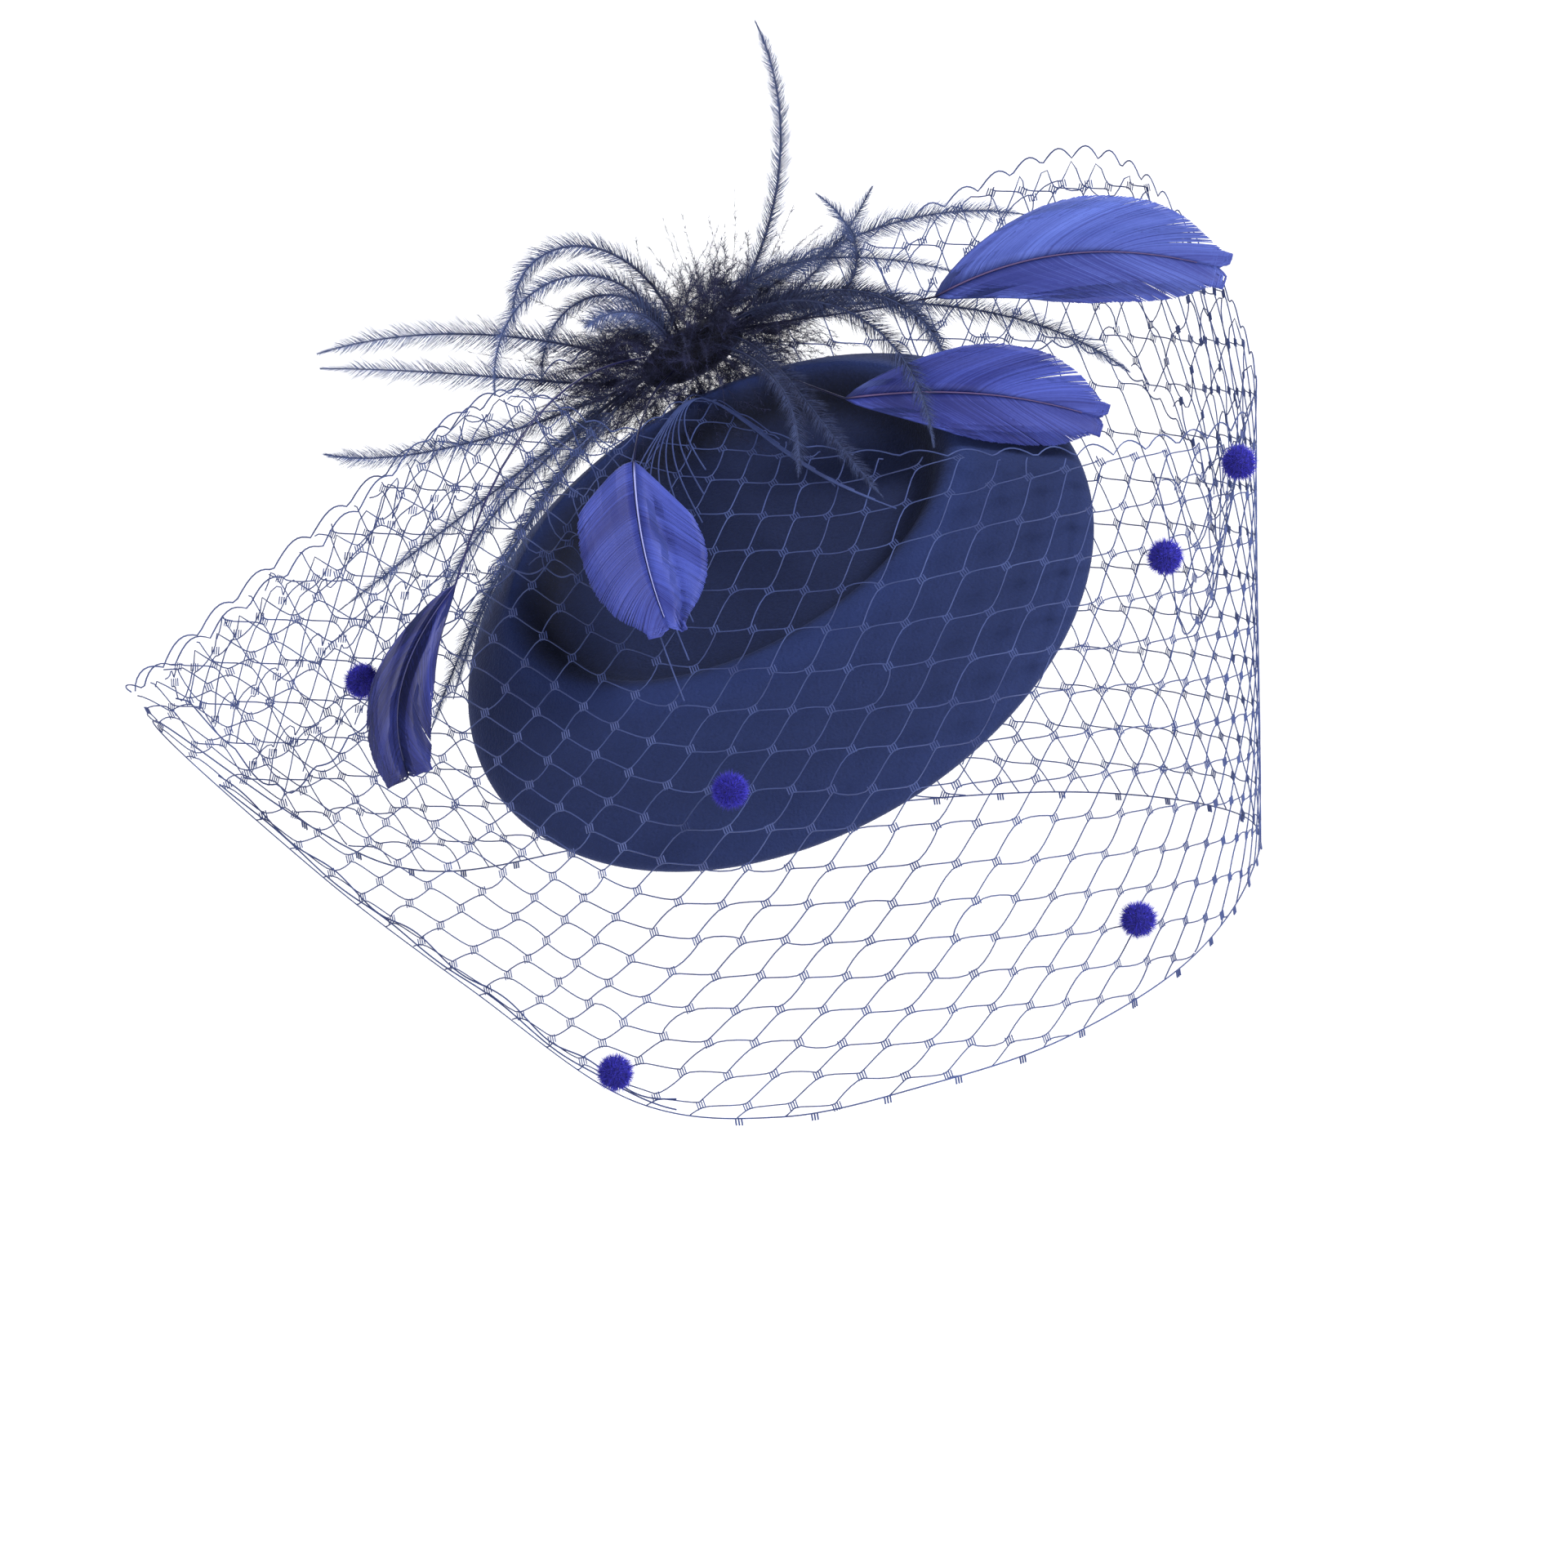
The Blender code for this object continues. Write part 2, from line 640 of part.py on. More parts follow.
def make_plume(cutters, group, parent):
    """The plume: a fluffy head over the rim, with its fronds fused to it."""
    place = plume_place()
    shape = bmesh.new()
    bmesh.ops.create_uvsphere(shape, u_segments=14, v_segments=9, radius=0.5)
    for vertex in shape.verts:
        x, y, z = vertex.co
        lock = 1.0 + LOCK_RISE * math.sin(LOCKS_ALONG * x) * math.cos(LOCKS_ACROSS * y)
        vertex.co = lock * Vector((PLUME_LENGTH * x, PLUME_WIDTH * y, PLUME_HEIGHT * z))
    mesh = bpy.data.meshes.new("feather_plume")
    shape.to_mesh(mesh)
    shape.free()
    mesh.transform(place)
    plume = add_object("feather_plume", mesh, group, parent)

    fronds = bpy.data.collections.new("fronds")
    cutters.children.link(fronds)
    facing = Vector(FROND_FACING)
    for number, (root, *bends, width) in enumerate(FRONDS, start=1):
        start = place @ Vector((root * PLUME_ROOTS * PLUME_LENGTH / 2, 0.0, 0.0))
        control = [start] + [FROND_REACH * Vector(bend) for bend in bends]
        path = [cubic(control, step / FROND_STEPS) for step in range(FROND_STEPS + 1)]
        taper = [
            width * FROND_WIDTH * (1.0 - FROND_TAPER * (step / FROND_STEPS) ** 2)
            for step in range(FROND_STEPS + 1)
        ]
        name = f"frond_{number}"
        mesh = mesh_from(name, *strip(path, taper, FROND_THICKNESS, facing))
        outward(mesh)
        make_cutter(name, mesh, fronds, parent)
    add_boolean(plume, "UNION", fronds)

    seats = bpy.data.collections.new("plume_seats")
    cutters.children.link(seats)
    felt_seat = make_cutter("felt_seat", felt_sheet("felt_seat", CLEARANCE), seats, parent)
    felt_seat.matrix_local = felt_frame()
    thicken(felt_seat, 2 * FELT_RISE, -1.0)
    girth = 2 * STEM_WIDTH
    for name in GOOSE_FEATHERS:
        path = feather_path(name)[0]
        path.insert(0, path[0] + (path[0] - path[1]).normalized() * CLEARANCE)
        sizes = [girth] * len(path)
        mesh = mesh_from(name, *strip(path, sizes, girth, facing))
        outward(mesh)
        make_cutter(f"{name}_seat", mesh, seats, parent)
    add_boolean(plume, "DIFFERENCE", seats)
    plume.data.materials.append(new_material("navy_plume"))


def feather_path(name):
    """Points along a goose feather's stem and along its blade's spine."""
    stem, spine = GOOSE_FEATHERS[name][:2]
    start = plume_place().translation
    first, second = (FROND_REACH * Vector(point) for point in stem)
    quill, middle, tip = (FROND_REACH * Vector(point) for point in spine)
    start = start.lerp(first, STEM_START)
    control = (start, first, second, quill)
    stem_path = [cubic(control, step / STEM_STEPS) for step in range(STEM_STEPS + 1)]
    bend = 2 * middle - (quill + tip) / 2
    blade_path = []
    for along, _left, _right in BLADE_OUTLINES[GOOSE_FEATHERS[name][4]]:
        blade_path.append(
            (1 - along) ** 2 * quill + 2 * along * (1 - along) * bend + along ** 2 * tip
        )
    return stem_path, blade_path


def make_goose_feather(name, material, group, parent):
    """A goose feather: a bare stem, then a cupped blade on both sides of its spine."""
    _stem, spine, width_share, twist, outline = GOOSE_FEATHERS[name]
    stem_path, blade_path = feather_path(name)
    length = FROND_REACH * (Vector(spine[2]) - Vector(spine[0])).length
    width = width_share * length
    sections = [(point, STEM_WIDTH / 2, STEM_WIDTH / 2) for point in stem_path]
    for point, (_along, left, right) in zip(blade_path, BLADE_OUTLINES[outline]):
        sections.append((point, left * width, right * width))
    turn = math.radians(twist)
    facing = Vector((math.sin(turn), -math.cos(turn), BLADE_TILT))
    points, faces = [], []
    for step, (point, left, right) in enumerate(sections):
        ahead = sections[min(step + 1, len(sections) - 1)][0] - sections[max(step - 1, 0)][0]
        across = ahead.cross(facing).normalized()
        up = across.cross(ahead).normalized()
        for share in (-1.0, -0.5, 0.0, 0.5, 1.0):
            side = share * (left if share < 0.0 else right)
            rise = -BLADE_CUP * abs(share) * abs(side)
            points.append(point + side * across + rise * up)
    for step in range(len(sections) - 1):
        for column in range(4):
            start = 5 * step + column
            faces.append((start, start + 1, start + 6, start + 5))
    feather = add_object(name, mesh_from(name, points, faces), group, parent)
    thicken(feather, BLADE_THICKNESS, 0.0)
    feather.data.materials.append(material)


def main():
    clear_scene()
    group = new_collection("cocktail_hat_with_veil")
    cutters = new_collection("cutters")
    stance = bpy.data.objects.new("stance", None)
    group.objects.link(stance)
    stance.rotation_euler.z = -WEARER_TURN

    make_felt(group, stance)
    make_comb(group, stance)
    make_veil(group, stance)
    make_plume(cutters, group, stance)
    goose = new_material("goose_blue")
    for name in GOOSE_FEATHERS:
        make_goose_feather(name, goose, group, stance)


main()
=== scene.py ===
"""Looks of a felt cocktail hat with a face veil, a feather plume, goose feathers and dots.

The pieces are laid out as they are seen from the wearer's right front, in metres, with +X
to the right, +Y away and +Z up, and are then turned so that the wearer faces -Y.
"""

import logging
import math
from dataclasses import dataclass, field
from enum import Enum

import bpy
import numpy as np
from mathutils import Matrix, Vector


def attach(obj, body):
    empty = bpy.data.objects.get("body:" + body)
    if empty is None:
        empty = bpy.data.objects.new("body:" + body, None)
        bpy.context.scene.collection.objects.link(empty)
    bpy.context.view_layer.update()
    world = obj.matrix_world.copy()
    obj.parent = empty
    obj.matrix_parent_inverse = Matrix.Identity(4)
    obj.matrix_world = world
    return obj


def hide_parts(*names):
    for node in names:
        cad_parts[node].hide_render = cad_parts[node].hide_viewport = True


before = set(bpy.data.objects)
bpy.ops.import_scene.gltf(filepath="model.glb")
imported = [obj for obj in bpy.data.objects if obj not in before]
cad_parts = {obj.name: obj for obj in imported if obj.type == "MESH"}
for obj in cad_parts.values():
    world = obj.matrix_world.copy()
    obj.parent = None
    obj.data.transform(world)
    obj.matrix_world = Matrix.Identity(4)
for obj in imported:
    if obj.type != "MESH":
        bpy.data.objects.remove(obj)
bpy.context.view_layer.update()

log = logging.getLogger("cocktail_hat")

Points = np.ndarray
Colour = tuple[int, int, int]

WEARER_TURN = math.radians(35.0)
FELT_ROLL = math.radians(29.0)
FELT_SLOPE = math.radians(47.2)
LAYOUT_TO_ROW = np.array(Matrix.Rotation(-WEARER_TURN, 3, "Z"))
FELT_TO_LAYOUT = np.array(
    Matrix.Rotation(-FELT_ROLL, 3, "Y") @ Matrix.Rotation(FELT_SLOPE, 3, "X")
)

# Seats in the felt's own axes: along, across and normal.
PLUME_SEAT = (0.013, 0.086, 0.0158)
GATHER_SEAT = (0.009, 0.066, 0.0186)

# Rings of the felt, from the turned-down edge to the floor of the dish.
# reach is 2 at the rim, 1 at the crest and 0 at the dish's middle.
# height is a share of the felt's rise. The table below goes from reach to a painted tone: painted shade
# down the dish's wall and a painted highlight along its crest.
FELT_RINGS = (
    # reach, height
    (1.955, -0.17), (1.990, -0.05), (2.000, 0.08), (1.960, 0.22), (1.840, 0.40),
    (1.600, 0.62), (1.320, 0.84), (1.120, 0.97), (1.020, 1.00), (0.950, 0.94),
    (0.900, 0.76), (0.860, 0.52), (0.810, 0.42), (0.740, 0.40), (0.400, 0.40),
)

# Painted shade and highlight of the felt by reach: darkest on the dish's wall, lightest just past the
# crest.
FELT_PAINTED_SHADE = (
    (0.00, 0.47), (0.70, 0.47), (0.80, 0.34), (0.88, 0.18), (0.95, 0.40), (1.00, 0.78),
    (1.06, 0.90), (1.20, 0.70), (1.60, 0.60), (2.00, 0.68),
)

# Stations round the veil, from its left tip past the face and round the back, as shares
# of the veil's reach, depth, rise and drop. The gathered top sits on the felt's crest.
VEIL_STATIONS = (
    # top: across, depth, height; hem: across, depth, height; bend: reach, sag
    ((-1.00, 0.27, -0.20), (-0.97, 0.27, -0.25), (0.50, 0.50)),
    ((-0.73, 0.12, 0.10), (-0.71, 0.03, -0.55), (0.50, 0.40)),
    ((-0.45, 0.15, 0.46), (-0.46, -0.21, -0.78), (0.45, 0.12)),
    ((-0.24, 0.09, 0.39), (-0.22, -0.42, -0.98), (0.60, 0.12)),
    (None, (0.00, -0.53, -1.00), (0.72, 0.15)),
    ((0.05, 0.01, 0.36), (0.22, -0.55, -0.93), (0.72, 0.14)),
    ((0.30, -0.13, 0.35), (0.42, -0.44, -0.85), (0.72, 0.14)),
    ((0.55, -0.09, 0.36), (0.61, -0.21, -0.72), (0.60, 0.30)),
    ((0.73, 0.18, 0.45), (0.72, 0.09, -0.57), (0.50, 0.50)),
    ((0.66, 0.55, 0.79), (0.73, 0.52, -0.48), (0.90, 0.45)),
    ((0.49, 0.76, 1.00), (0.49, 0.88, -0.46), (0.90, 0.45)),
    ((0.19, 0.82, 0.84), (0.14, 1.00, -0.50), (0.90, 0.45)),
    ((-0.25, 0.72, 0.58), (-0.28, 0.91, -0.58), (0.90, 0.45)),
    ((-0.58, 0.53, 0.32), (-0.62, 0.64, -0.60), (0.70, 0.45)),
)
GATHER_STATION = 4

# Chenille dots on the net, by station and by share of the way down to the hem.
VEIL_DOTS = (
    # station, drop
    (7.55, 0.07), (6.93, 0.30), (6.48, 0.90), (2.97, 0.98), (3.81, 0.70), (1.37, 0.56),
)

# Fronds of the plume: root along the plume, two bends and a tip as shares of their reach.
FRONDS = (
    # root, first bend, second bend, tip, width
    (0.1, (0.00, 0.45, 0.95), (0.07, 0.45, 1.35), (-0.07, 0.42, 1.63), 0.9),
    (-0.1, (-0.37, 0.45, 1.12), (-0.78, 0.42, 1.06), (-0.74, 0.36, 0.79), 1.1),
    (-0.3, (-0.37, 0.38, 1.06), (-0.83, 0.28, 0.97), (-0.79, 0.22, 0.59), 1.0),
    (-0.2, (-0.35, 0.55, 0.95), (-0.69, 0.60, 0.92), (-0.67, 0.60, 0.61), 0.9),
    (-0.2, (-0.33, 0.25, 0.83), (-0.44, 0.20, 0.86), (-0.54, 0.18, 0.78), 1.5),
    (-0.5, (-0.44, 0.50, 0.70), (-0.89, 0.58, 0.83), (-1.30, 0.54, 0.70), 1.4),
    (-0.6, (-0.48, 0.48, 0.58), (-0.80, 0.47, 0.66), (-1.29, 0.50, 0.66), 1.3),
    (-0.7, (-0.52, 0.42, 0.56), (-1.02, 0.46, 0.36), (-1.28, 0.50, 0.42), 1.2),
    (-0.8, (-0.56, 0.36, 0.50), (-0.89, 0.38, 0.25), (-1.24, 0.45, -0.02), 0.8),
    (-0.8, (-0.60, 0.31, 0.46), (-0.85, 0.28, 0.27), (-0.96, 0.26, -0.02), 0.9),
    (-0.8, (-0.58, 0.24, 0.46), (-0.82, 0.14, 0.11), (-0.97, 0.06, -0.35), 0.9),
    (-0.7, (-0.54, 0.20, 0.46), (-0.80, 0.14, 0.18), (-0.90, 0.02, -0.24), 0.9),
    (0.3, (-0.15, 0.35, 0.95), (0.10, 0.32, 1.03), (0.50, 0.36, 0.93), 1.1),
    (0.6, (0.24, 0.30, 0.78), (0.30, 0.26, 1.01), (0.10, 0.30, 1.15), 0.9),
    (0.5, (0.01, 0.55, 0.82), (0.15, 0.62, 0.95), (0.26, 0.66, 1.17), 1.0),
    (0.4, (-0.01, 0.55, 0.95), (0.33, 0.62, 1.15), (0.69, 0.68, 1.09), 1.2),
    (0.5, (0.01, 0.18, 0.92), (0.42, 0.00, 0.97), (0.47, -0.08, 0.63), 1.2),
    (0.6, (0.06, 0.28, 0.90), (0.39, 0.18, 0.92), (0.44, 0.10, 0.72), 1.0),
    (0.8, (0.12, 0.45, 0.86), (0.66, 0.52, 0.90), (0.98, 0.48, 0.65), 1.2),
    (0.3, (-0.01, 0.12, 0.95), (0.37, -0.08, 0.88), (0.42, -0.20, 0.46), 1.2),
    (0.4, (-0.02, 0.10, 0.76), (0.07, -0.10, 0.56), (0.28, -0.34, 0.33), 1.0),
    (0.2, (-0.05, 0.05, 0.72), (0.07, -0.12, 0.62), (0.05, -0.22, 0.38), 1.0),
)

# Outlines of a goose feather's blade: share of the way along it, and half widths left and
# right of the quill as shares of the blade's width.
BLADE_OUTLINES = {
    # along, left, right
    "long": (
        (0.00, 0.02, 0.02), (0.06, 0.10, 0.10), (0.18, 0.22, 0.20), (0.35, 0.40, 0.36),
        (0.55, 0.50, 0.44), (0.75, 0.48, 0.42), (0.90, 0.34, 0.34), (1.00, 0.12, 0.14),
    ),
    "blunt": (
        (0.00, 0.02, 0.02), (0.05, 0.10, 0.10), (0.18, 0.26, 0.20), (0.35, 0.42, 0.36),
        (0.55, 0.50, 0.44), (0.75, 0.50, 0.46), (0.92, 0.44, 0.42), (1.00, 0.34, 0.36),
    ),
    "round": (
        (0.00, 0.03, 0.03), (0.03, 0.12, 0.14), (0.12, 0.30, 0.34), (0.30, 0.46, 0.48),
        (0.50, 0.52, 0.50), (0.70, 0.46, 0.46), (0.88, 0.30, 0.34), (1.00, 0.12, 0.16),
    ),
}


class Marks(Enum):
    """Names of the attributes that the meshes carry for their node trees and materials."""

    LEAN = "lean"
    SIDE = "side"
    GIRTH = "girth"
    TONE = "tone"
    KNOT = "knot"


class Slots(Enum):
    """The record's material slots."""

    FELT = "navy_felt"
    COMB = "comb_plastic"
    NET = "navy_net"
    CHENILLE = "chenille"
    PLUME = "navy_plume"
    GOOSE = "goose_blue"


def linear(colour: Colour) -> tuple[float, float, float, float]:
    """Linear colour of an 8-bit display colour.

    Args:
        colour: red, green and blue from 0 to 255.

    Returns:
        Red, green, blue and a full alpha.
    """
    shares = [channel / 255.0 for channel in colour]
    low, high = 12.92, 1.055
    parts = [s / low if s <= 0.04045 else ((s + 0.055) / high) ** 2.4 for s in shares]
    return (*parts, 1.0)


def unit(vectors: Points) -> Points:
    """Vectors along the last axis, brought to length one."""
    return vectors / np.maximum(np.linalg.norm(vectors, axis=-1, keepdims=True), 1e-9)


def smooth(share: Points) -> Points:
    """A share from 0 to 1 that starts and ends gently."""
    share = np.clip(share, 0.0, 1.0)
    return share * share * (3.0 - 2.0 * share)


def bezier(control: Points, shares: Points) -> Points:
    """Points on a cubic curve.

    Args:
        control: its four control points.
        shares: places along it, from 0 to 1.

    Returns:
        One point for each share.
    """
    s = shares[:, None]
    a, b, c, d = control
    return (1 - s) ** 3 * a + 3 * s * (1 - s) ** 2 * b + 3 * s * s * (1 - s) * c + s ** 3 * d


def ring_curve(values: Points, station: Points) -> Points:
    """Points on a closed smooth curve through the values, a station apart.

    Args:
        values: the values at the whole stations.
        station: places round the curve.

    Returns:
        One value for each station.
    """
    first = np.floor(station).astype(int)
    t = (station - first)[:, None]
    a, b, c, d = (values[(first + step) % len(values)] for step in (-1, 0, 1, 2))
    bend = 2 * a - 5 * b + 4 * c - d
    return 0.5 * (2 * b + t * (c - a) + t * t * bend + t ** 3 * (3 * b - a - 3 * c + d))


class NodeTree:
    """A node tree that is drawn up in code, with named inputs for its sizes."""

    def __init__(self, name: str, inputs: dict[str, str]) -> None:
        """Start the tree.

        Args:
            name: the tree's name.
            inputs: the kind of socket for each named input.
        """
        self.tree = bpy.data.node_groups.new(name, "GeometryNodeTree")
        face = self.tree.interface
        face.new_socket("Geometry", in_out="INPUT", socket_type="NodeSocketGeometry")
        self.sockets = {
            label: face.new_socket(label, in_out="INPUT", socket_type=kind).identifier
            for label, kind in inputs.items()
        }
        face.new_socket("Geometry", in_out="OUTPUT", socket_type="NodeSocketGeometry")
        self.given = self.add("NodeGroupInput").outputs

    def add(self, kind: str, inputs: dict[int | str, object] | None = None,
            **settings: object) -> bpy.types.Node:
        """Add a node.

        Args:
            kind: the node's type.
            inputs: a link's source or a value for each of its inputs.
            settings: the node's own settings.

        Returns:
            The new node.
        """
        node = self.tree.nodes.new(kind)
        for label, value in settings.items():
            setattr(node, label, value)
        for key, source in (inputs or {}).items():
            if isinstance(source, bpy.types.NodeSocket):
                self.tree.links.new(source, node.inputs[key])
            else:
                node.inputs[key].default_value = source
        return node

    def mark(self, mark: Marks, kind: str = "FLOAT") -> bpy.types.NodeSocket:
        """Output of one of the mesh's attributes."""
        return self.add("GeometryNodeInputNamedAttribute", {0: mark.value}, data_type=kind).outputs[0]

    def stand(self) -> bpy.types.NodeSocket:
        """Rotation that stands a shape along its lean, with its X axis towards its side."""
        lean, side = self.mark(Marks.LEAN, "FLOAT_VECTOR"), self.mark(Marks.SIDE, "FLOAT_VECTOR")
        turn = self.add("FunctionNodeAxesToRotation", {0: lean, 1: side})
        turn.primary_axis, turn.secondary_axis = "Z", "X"
        return turn.outputs[0]

    def product(self, first: object, second: object) -> bpy.types.NodeSocket:
        """Product of two values or sockets."""
        return self.add("ShaderNodeMath", {0: first, 1: second}, operation="MULTIPLY").outputs[0]

    def sweep(self, thickness: str) -> bpy.types.NodeSocket:
        """Sweep the mesh's edges into cords as thick as their girth.

        Args:
            thickness: the named input that holds their full thickness.

        Returns:
            The cords, with their ends closed.
        """
        ring = self.add("GeometryNodeCurvePrimitiveCircle", {
            "Resolution": self.given["Sides"], "Radius": self.product(self.given[thickness], 0.5),
        })
        path = self.add("GeometryNodeMeshToCurve", {0: self.given["Geometry"]})
        cords = self.add("GeometryNodeCurveToMesh", {
            "Curve": path.outputs[0], "Profile Curve": ring.outputs[0],
            "Scale": self.mark(Marks.GIRTH), "Fill Caps": True,
        })
        return cords.outputs[0]

    def join(self, *geometries: bpy.types.NodeSocket) -> bpy.types.NodeSocket:
        """Join geometries, the last one first."""
        both = self.add("GeometryNodeJoinGeometry")
        for geometry in geometries:
            self.tree.links.new(geometry, both.inputs[0])
        return both.outputs[0]

    def close(self, geometry: bpy.types.NodeSocket) -> "NodeTree":
        """End the tree with real meshes that carry its material.

        Args:
            geometry: what the tree has made.

        Returns:
            The tree itself.
        """
        real = self.add("GeometryNodeRealizeInstances", {0: geometry})
        done = self.add(
            "GeometryNodeSetMaterial",
            {"Geometry": real.outputs[0], "Material": self.given["Material"]},
        )
        self.add("NodeGroupOutput", {0: done.outputs[0]})
        return self

    def grow(self, piece: bpy.types.Object, **values: object) -> None:
        """Run the tree on a piece and keep the result as its plain mesh.

        Args:
            piece: the object that carries the paths or points.
            values: a value for each named input, with its blanks as underscores.
        """
        change = piece.modifiers.new(self.tree.name, "NODES")
        change.node_group = self.tree
        for label, value in values.items():
            change[self.sockets[label.replace("_", " ")]] = value
        settle(piece)


def settle(piece: bpy.types.Object) -> None:
    """Turn a piece's modifiers into its plain mesh."""
    graph = bpy.context.evaluated_depsgraph_get()
    mesh = bpy.data.meshes.new_from_object(piece.evaluated_get(graph), depsgraph=graph)
    piece.modifiers.clear()
    piece.data = mesh


def cord_tree() -> NodeTree:
    """Tree that sweeps paths into cords as thick as their girth."""
    tree = NodeTree("cords", {"Thickness": "NodeSocketFloat", "Sides": "NodeSocketInt",
                              "Material": "NodeSocketMaterial"})
    return tree.close(tree.sweep("Thickness"))


def bristle_tree() -> NodeTree:
    """Tree that stands a tapered, bent fibre on each point that has a lean."""
    tree = NodeTree("bristles", {
        "Thickness": "NodeSocketFloat", "Bend": "NodeSocketFloat", "Segments": "NodeSocketInt",
        "Shortest": "NodeSocketFloat", "Seed": "NodeSocketInt", "Material": "NodeSocketMaterial",
    })
    cone = tree.add("GeometryNodeMeshCone", {
        "Vertices": 3, "Side Segments": tree.given["Segments"], "Radius Top": 0.0,
        "Radius Bottom": 0.5, "Depth": 1.0,
    }, fill_type="NGON")
    place = tree.add("ShaderNodeSeparateXYZ", {0: tree.add("GeometryNodeInputPosition").outputs[0]})
    squared = tree.product(place.outputs[2], place.outputs[2])
    lean = tree.mark(Marks.LEAN, "FLOAT_VECTOR")
    length = tree.add("ShaderNodeVectorMath", {0: lean}, operation="LENGTH").outputs["Value"]
    slim = tree.add("ShaderNodeMath", {0: tree.given["Bend"], 1: tree.given["Thickness"]},
                    operation="DIVIDE")
    push = tree.add("ShaderNodeCombineXYZ", {0: tree.product(squared, slim.outputs[0])})
    bent = tree.add("GeometryNodeSetPosition", {"Geometry": cone.outputs[0], "Offset": push.outputs[0]})
    vary = tree.add("FunctionNodeRandomValue", {
        "Min": tree.given["Shortest"], "Max": 1.0, "Seed": tree.given["Seed"],
    }, data_type="FLOAT")
    size = tree.add("ShaderNodeCombineXYZ", {
        0: tree.given["Thickness"], 1: tree.given["Thickness"],
        2: tree.product(length, vary.outputs[1]),
    })
    rooted = tree.add("ShaderNodeMath", {0: length, 1: 0.0}, operation="GREATER_THAN")
    fibres = tree.add("GeometryNodeInstanceOnPoints", {
        "Points": tree.given["Geometry"], "Selection": rooted.outputs[0],
        "Instance": bent.outputs[0], "Rotation": tree.stand(), "Scale": size.outputs[0],
    })
    core = tree.add("GeometryNodeDeleteGeometry",
                    {"Geometry": tree.given["Geometry"], "Selection": rooted.outputs[0]})
    both = tree.join(fibres.outputs[0], core.outputs[0])
    soft = tree.add("GeometryNodeSetShadeSmooth", {"Geometry": both})
    return tree.close(soft.outputs[0])


def netting_tree() -> NodeTree:
    """Tree that sweeps the net's threads and ties a ladder of bars at each knot."""
    tree = NodeTree("netting", {
        "Thread": "NodeSocketFloat", "Sides": "NodeSocketInt", "Bars": "NodeSocketInt",
        "Bar Length": "NodeSocketFloat", "Bar Thickness": "NodeSocketFloat",
        "Bar Pitch": "NodeSocketFloat", "Material": "NodeSocketMaterial",
    })
    bar = tree.add("GeometryNodeMeshCylinder", {
        "Vertices": 4, "Depth": tree.given["Bar Length"],
        "Radius": tree.product(tree.given["Bar Thickness"], 0.5),
    })
    step = tree.add("ShaderNodeCombineXYZ", {0: tree.given["Bar Pitch"]})
    count = tree.add("ShaderNodeMath", {0: tree.given["Bars"], 1: 1.0}, operation="SUBTRACT")
    start = tree.product(tree.product(count.outputs[0], -0.5), tree.given["Bar Pitch"])
    row = tree.add("GeometryNodeMeshLine", {
        "Count": tree.given["Bars"], "Offset": step.outputs[0],
        "Start Location": tree.add("ShaderNodeCombineXYZ", {0: start}).outputs[0],
    })
    ladder = tree.add("GeometryNodeInstanceOnPoints", {
        "Points": row.outputs[0], "Instance": bar.outputs[0], "Rotation": (math.pi / 2, 0.0, 0.0),
    })
    knots = tree.add("GeometryNodeInstanceOnPoints", {
        "Points": tree.given["Geometry"], "Selection": tree.mark(Marks.KNOT),
        "Instance": ladder.outputs[0], "Rotation": tree.stand(),
    })
    return tree.close(tree.join(knots.outputs[0], tree.sweep("Thread")))


def nap_tree() -> NodeTree:
    """Tree that raises short stray fibres all over a felt wall and gives back only the fibres."""
    tree = NodeTree("nap", {
        "Density": "NodeSocketFloat", "Length": "NodeSocketFloat", "Thickness": "NodeSocketFloat",
        "Seed": "NodeSocketInt", "Material": "NodeSocketMaterial",
    })
    roots = tree.add("GeometryNodeDistributePointsOnFaces", {
        "Mesh": tree.given["Geometry"], "Density": tree.given["Density"], "Seed": tree.given["Seed"],
    })
    fibre = tree.add("GeometryNodeMeshCone", {
        "Vertices": 3, "Radius Top": 0.0, "Radius Bottom": 0.5, "Depth": 1.0,
    }, fill_type="NGON")
    tilt = tree.add("FunctionNodeRandomValue", {
        0: (-1.2, -1.2, -3.1), 1: (1.2, 1.2, 3.1), "Seed": tree.given["Seed"],
    }, data_type="FLOAT_VECTOR")
    lay = tree.add("FunctionNodeEulerToRotation", {0: tilt.outputs[0]})
    turn = tree.add("FunctionNodeRotateRotation",
                    {0: roots.outputs["Rotation"], 1: lay.outputs[0]}, rotation_space="LOCAL")
    size = tree.add("ShaderNodeCombineXYZ", {
        0: tree.given["Thickness"], 1: tree.given["Thickness"], 2: tree.given["Length"],
    })
    nap = tree.add("GeometryNodeInstanceOnPoints", {
        "Points": roots.outputs["Points"], "Instance": fibre.outputs[0],
        "Rotation": turn.outputs[0], "Scale": size.outputs[0],
    })
    return tree.close(nap.outputs[0])


CORDS = cord_tree()
BRISTLES = bristle_tree()
NETTING = netting_tree()
NAP = nap_tree()


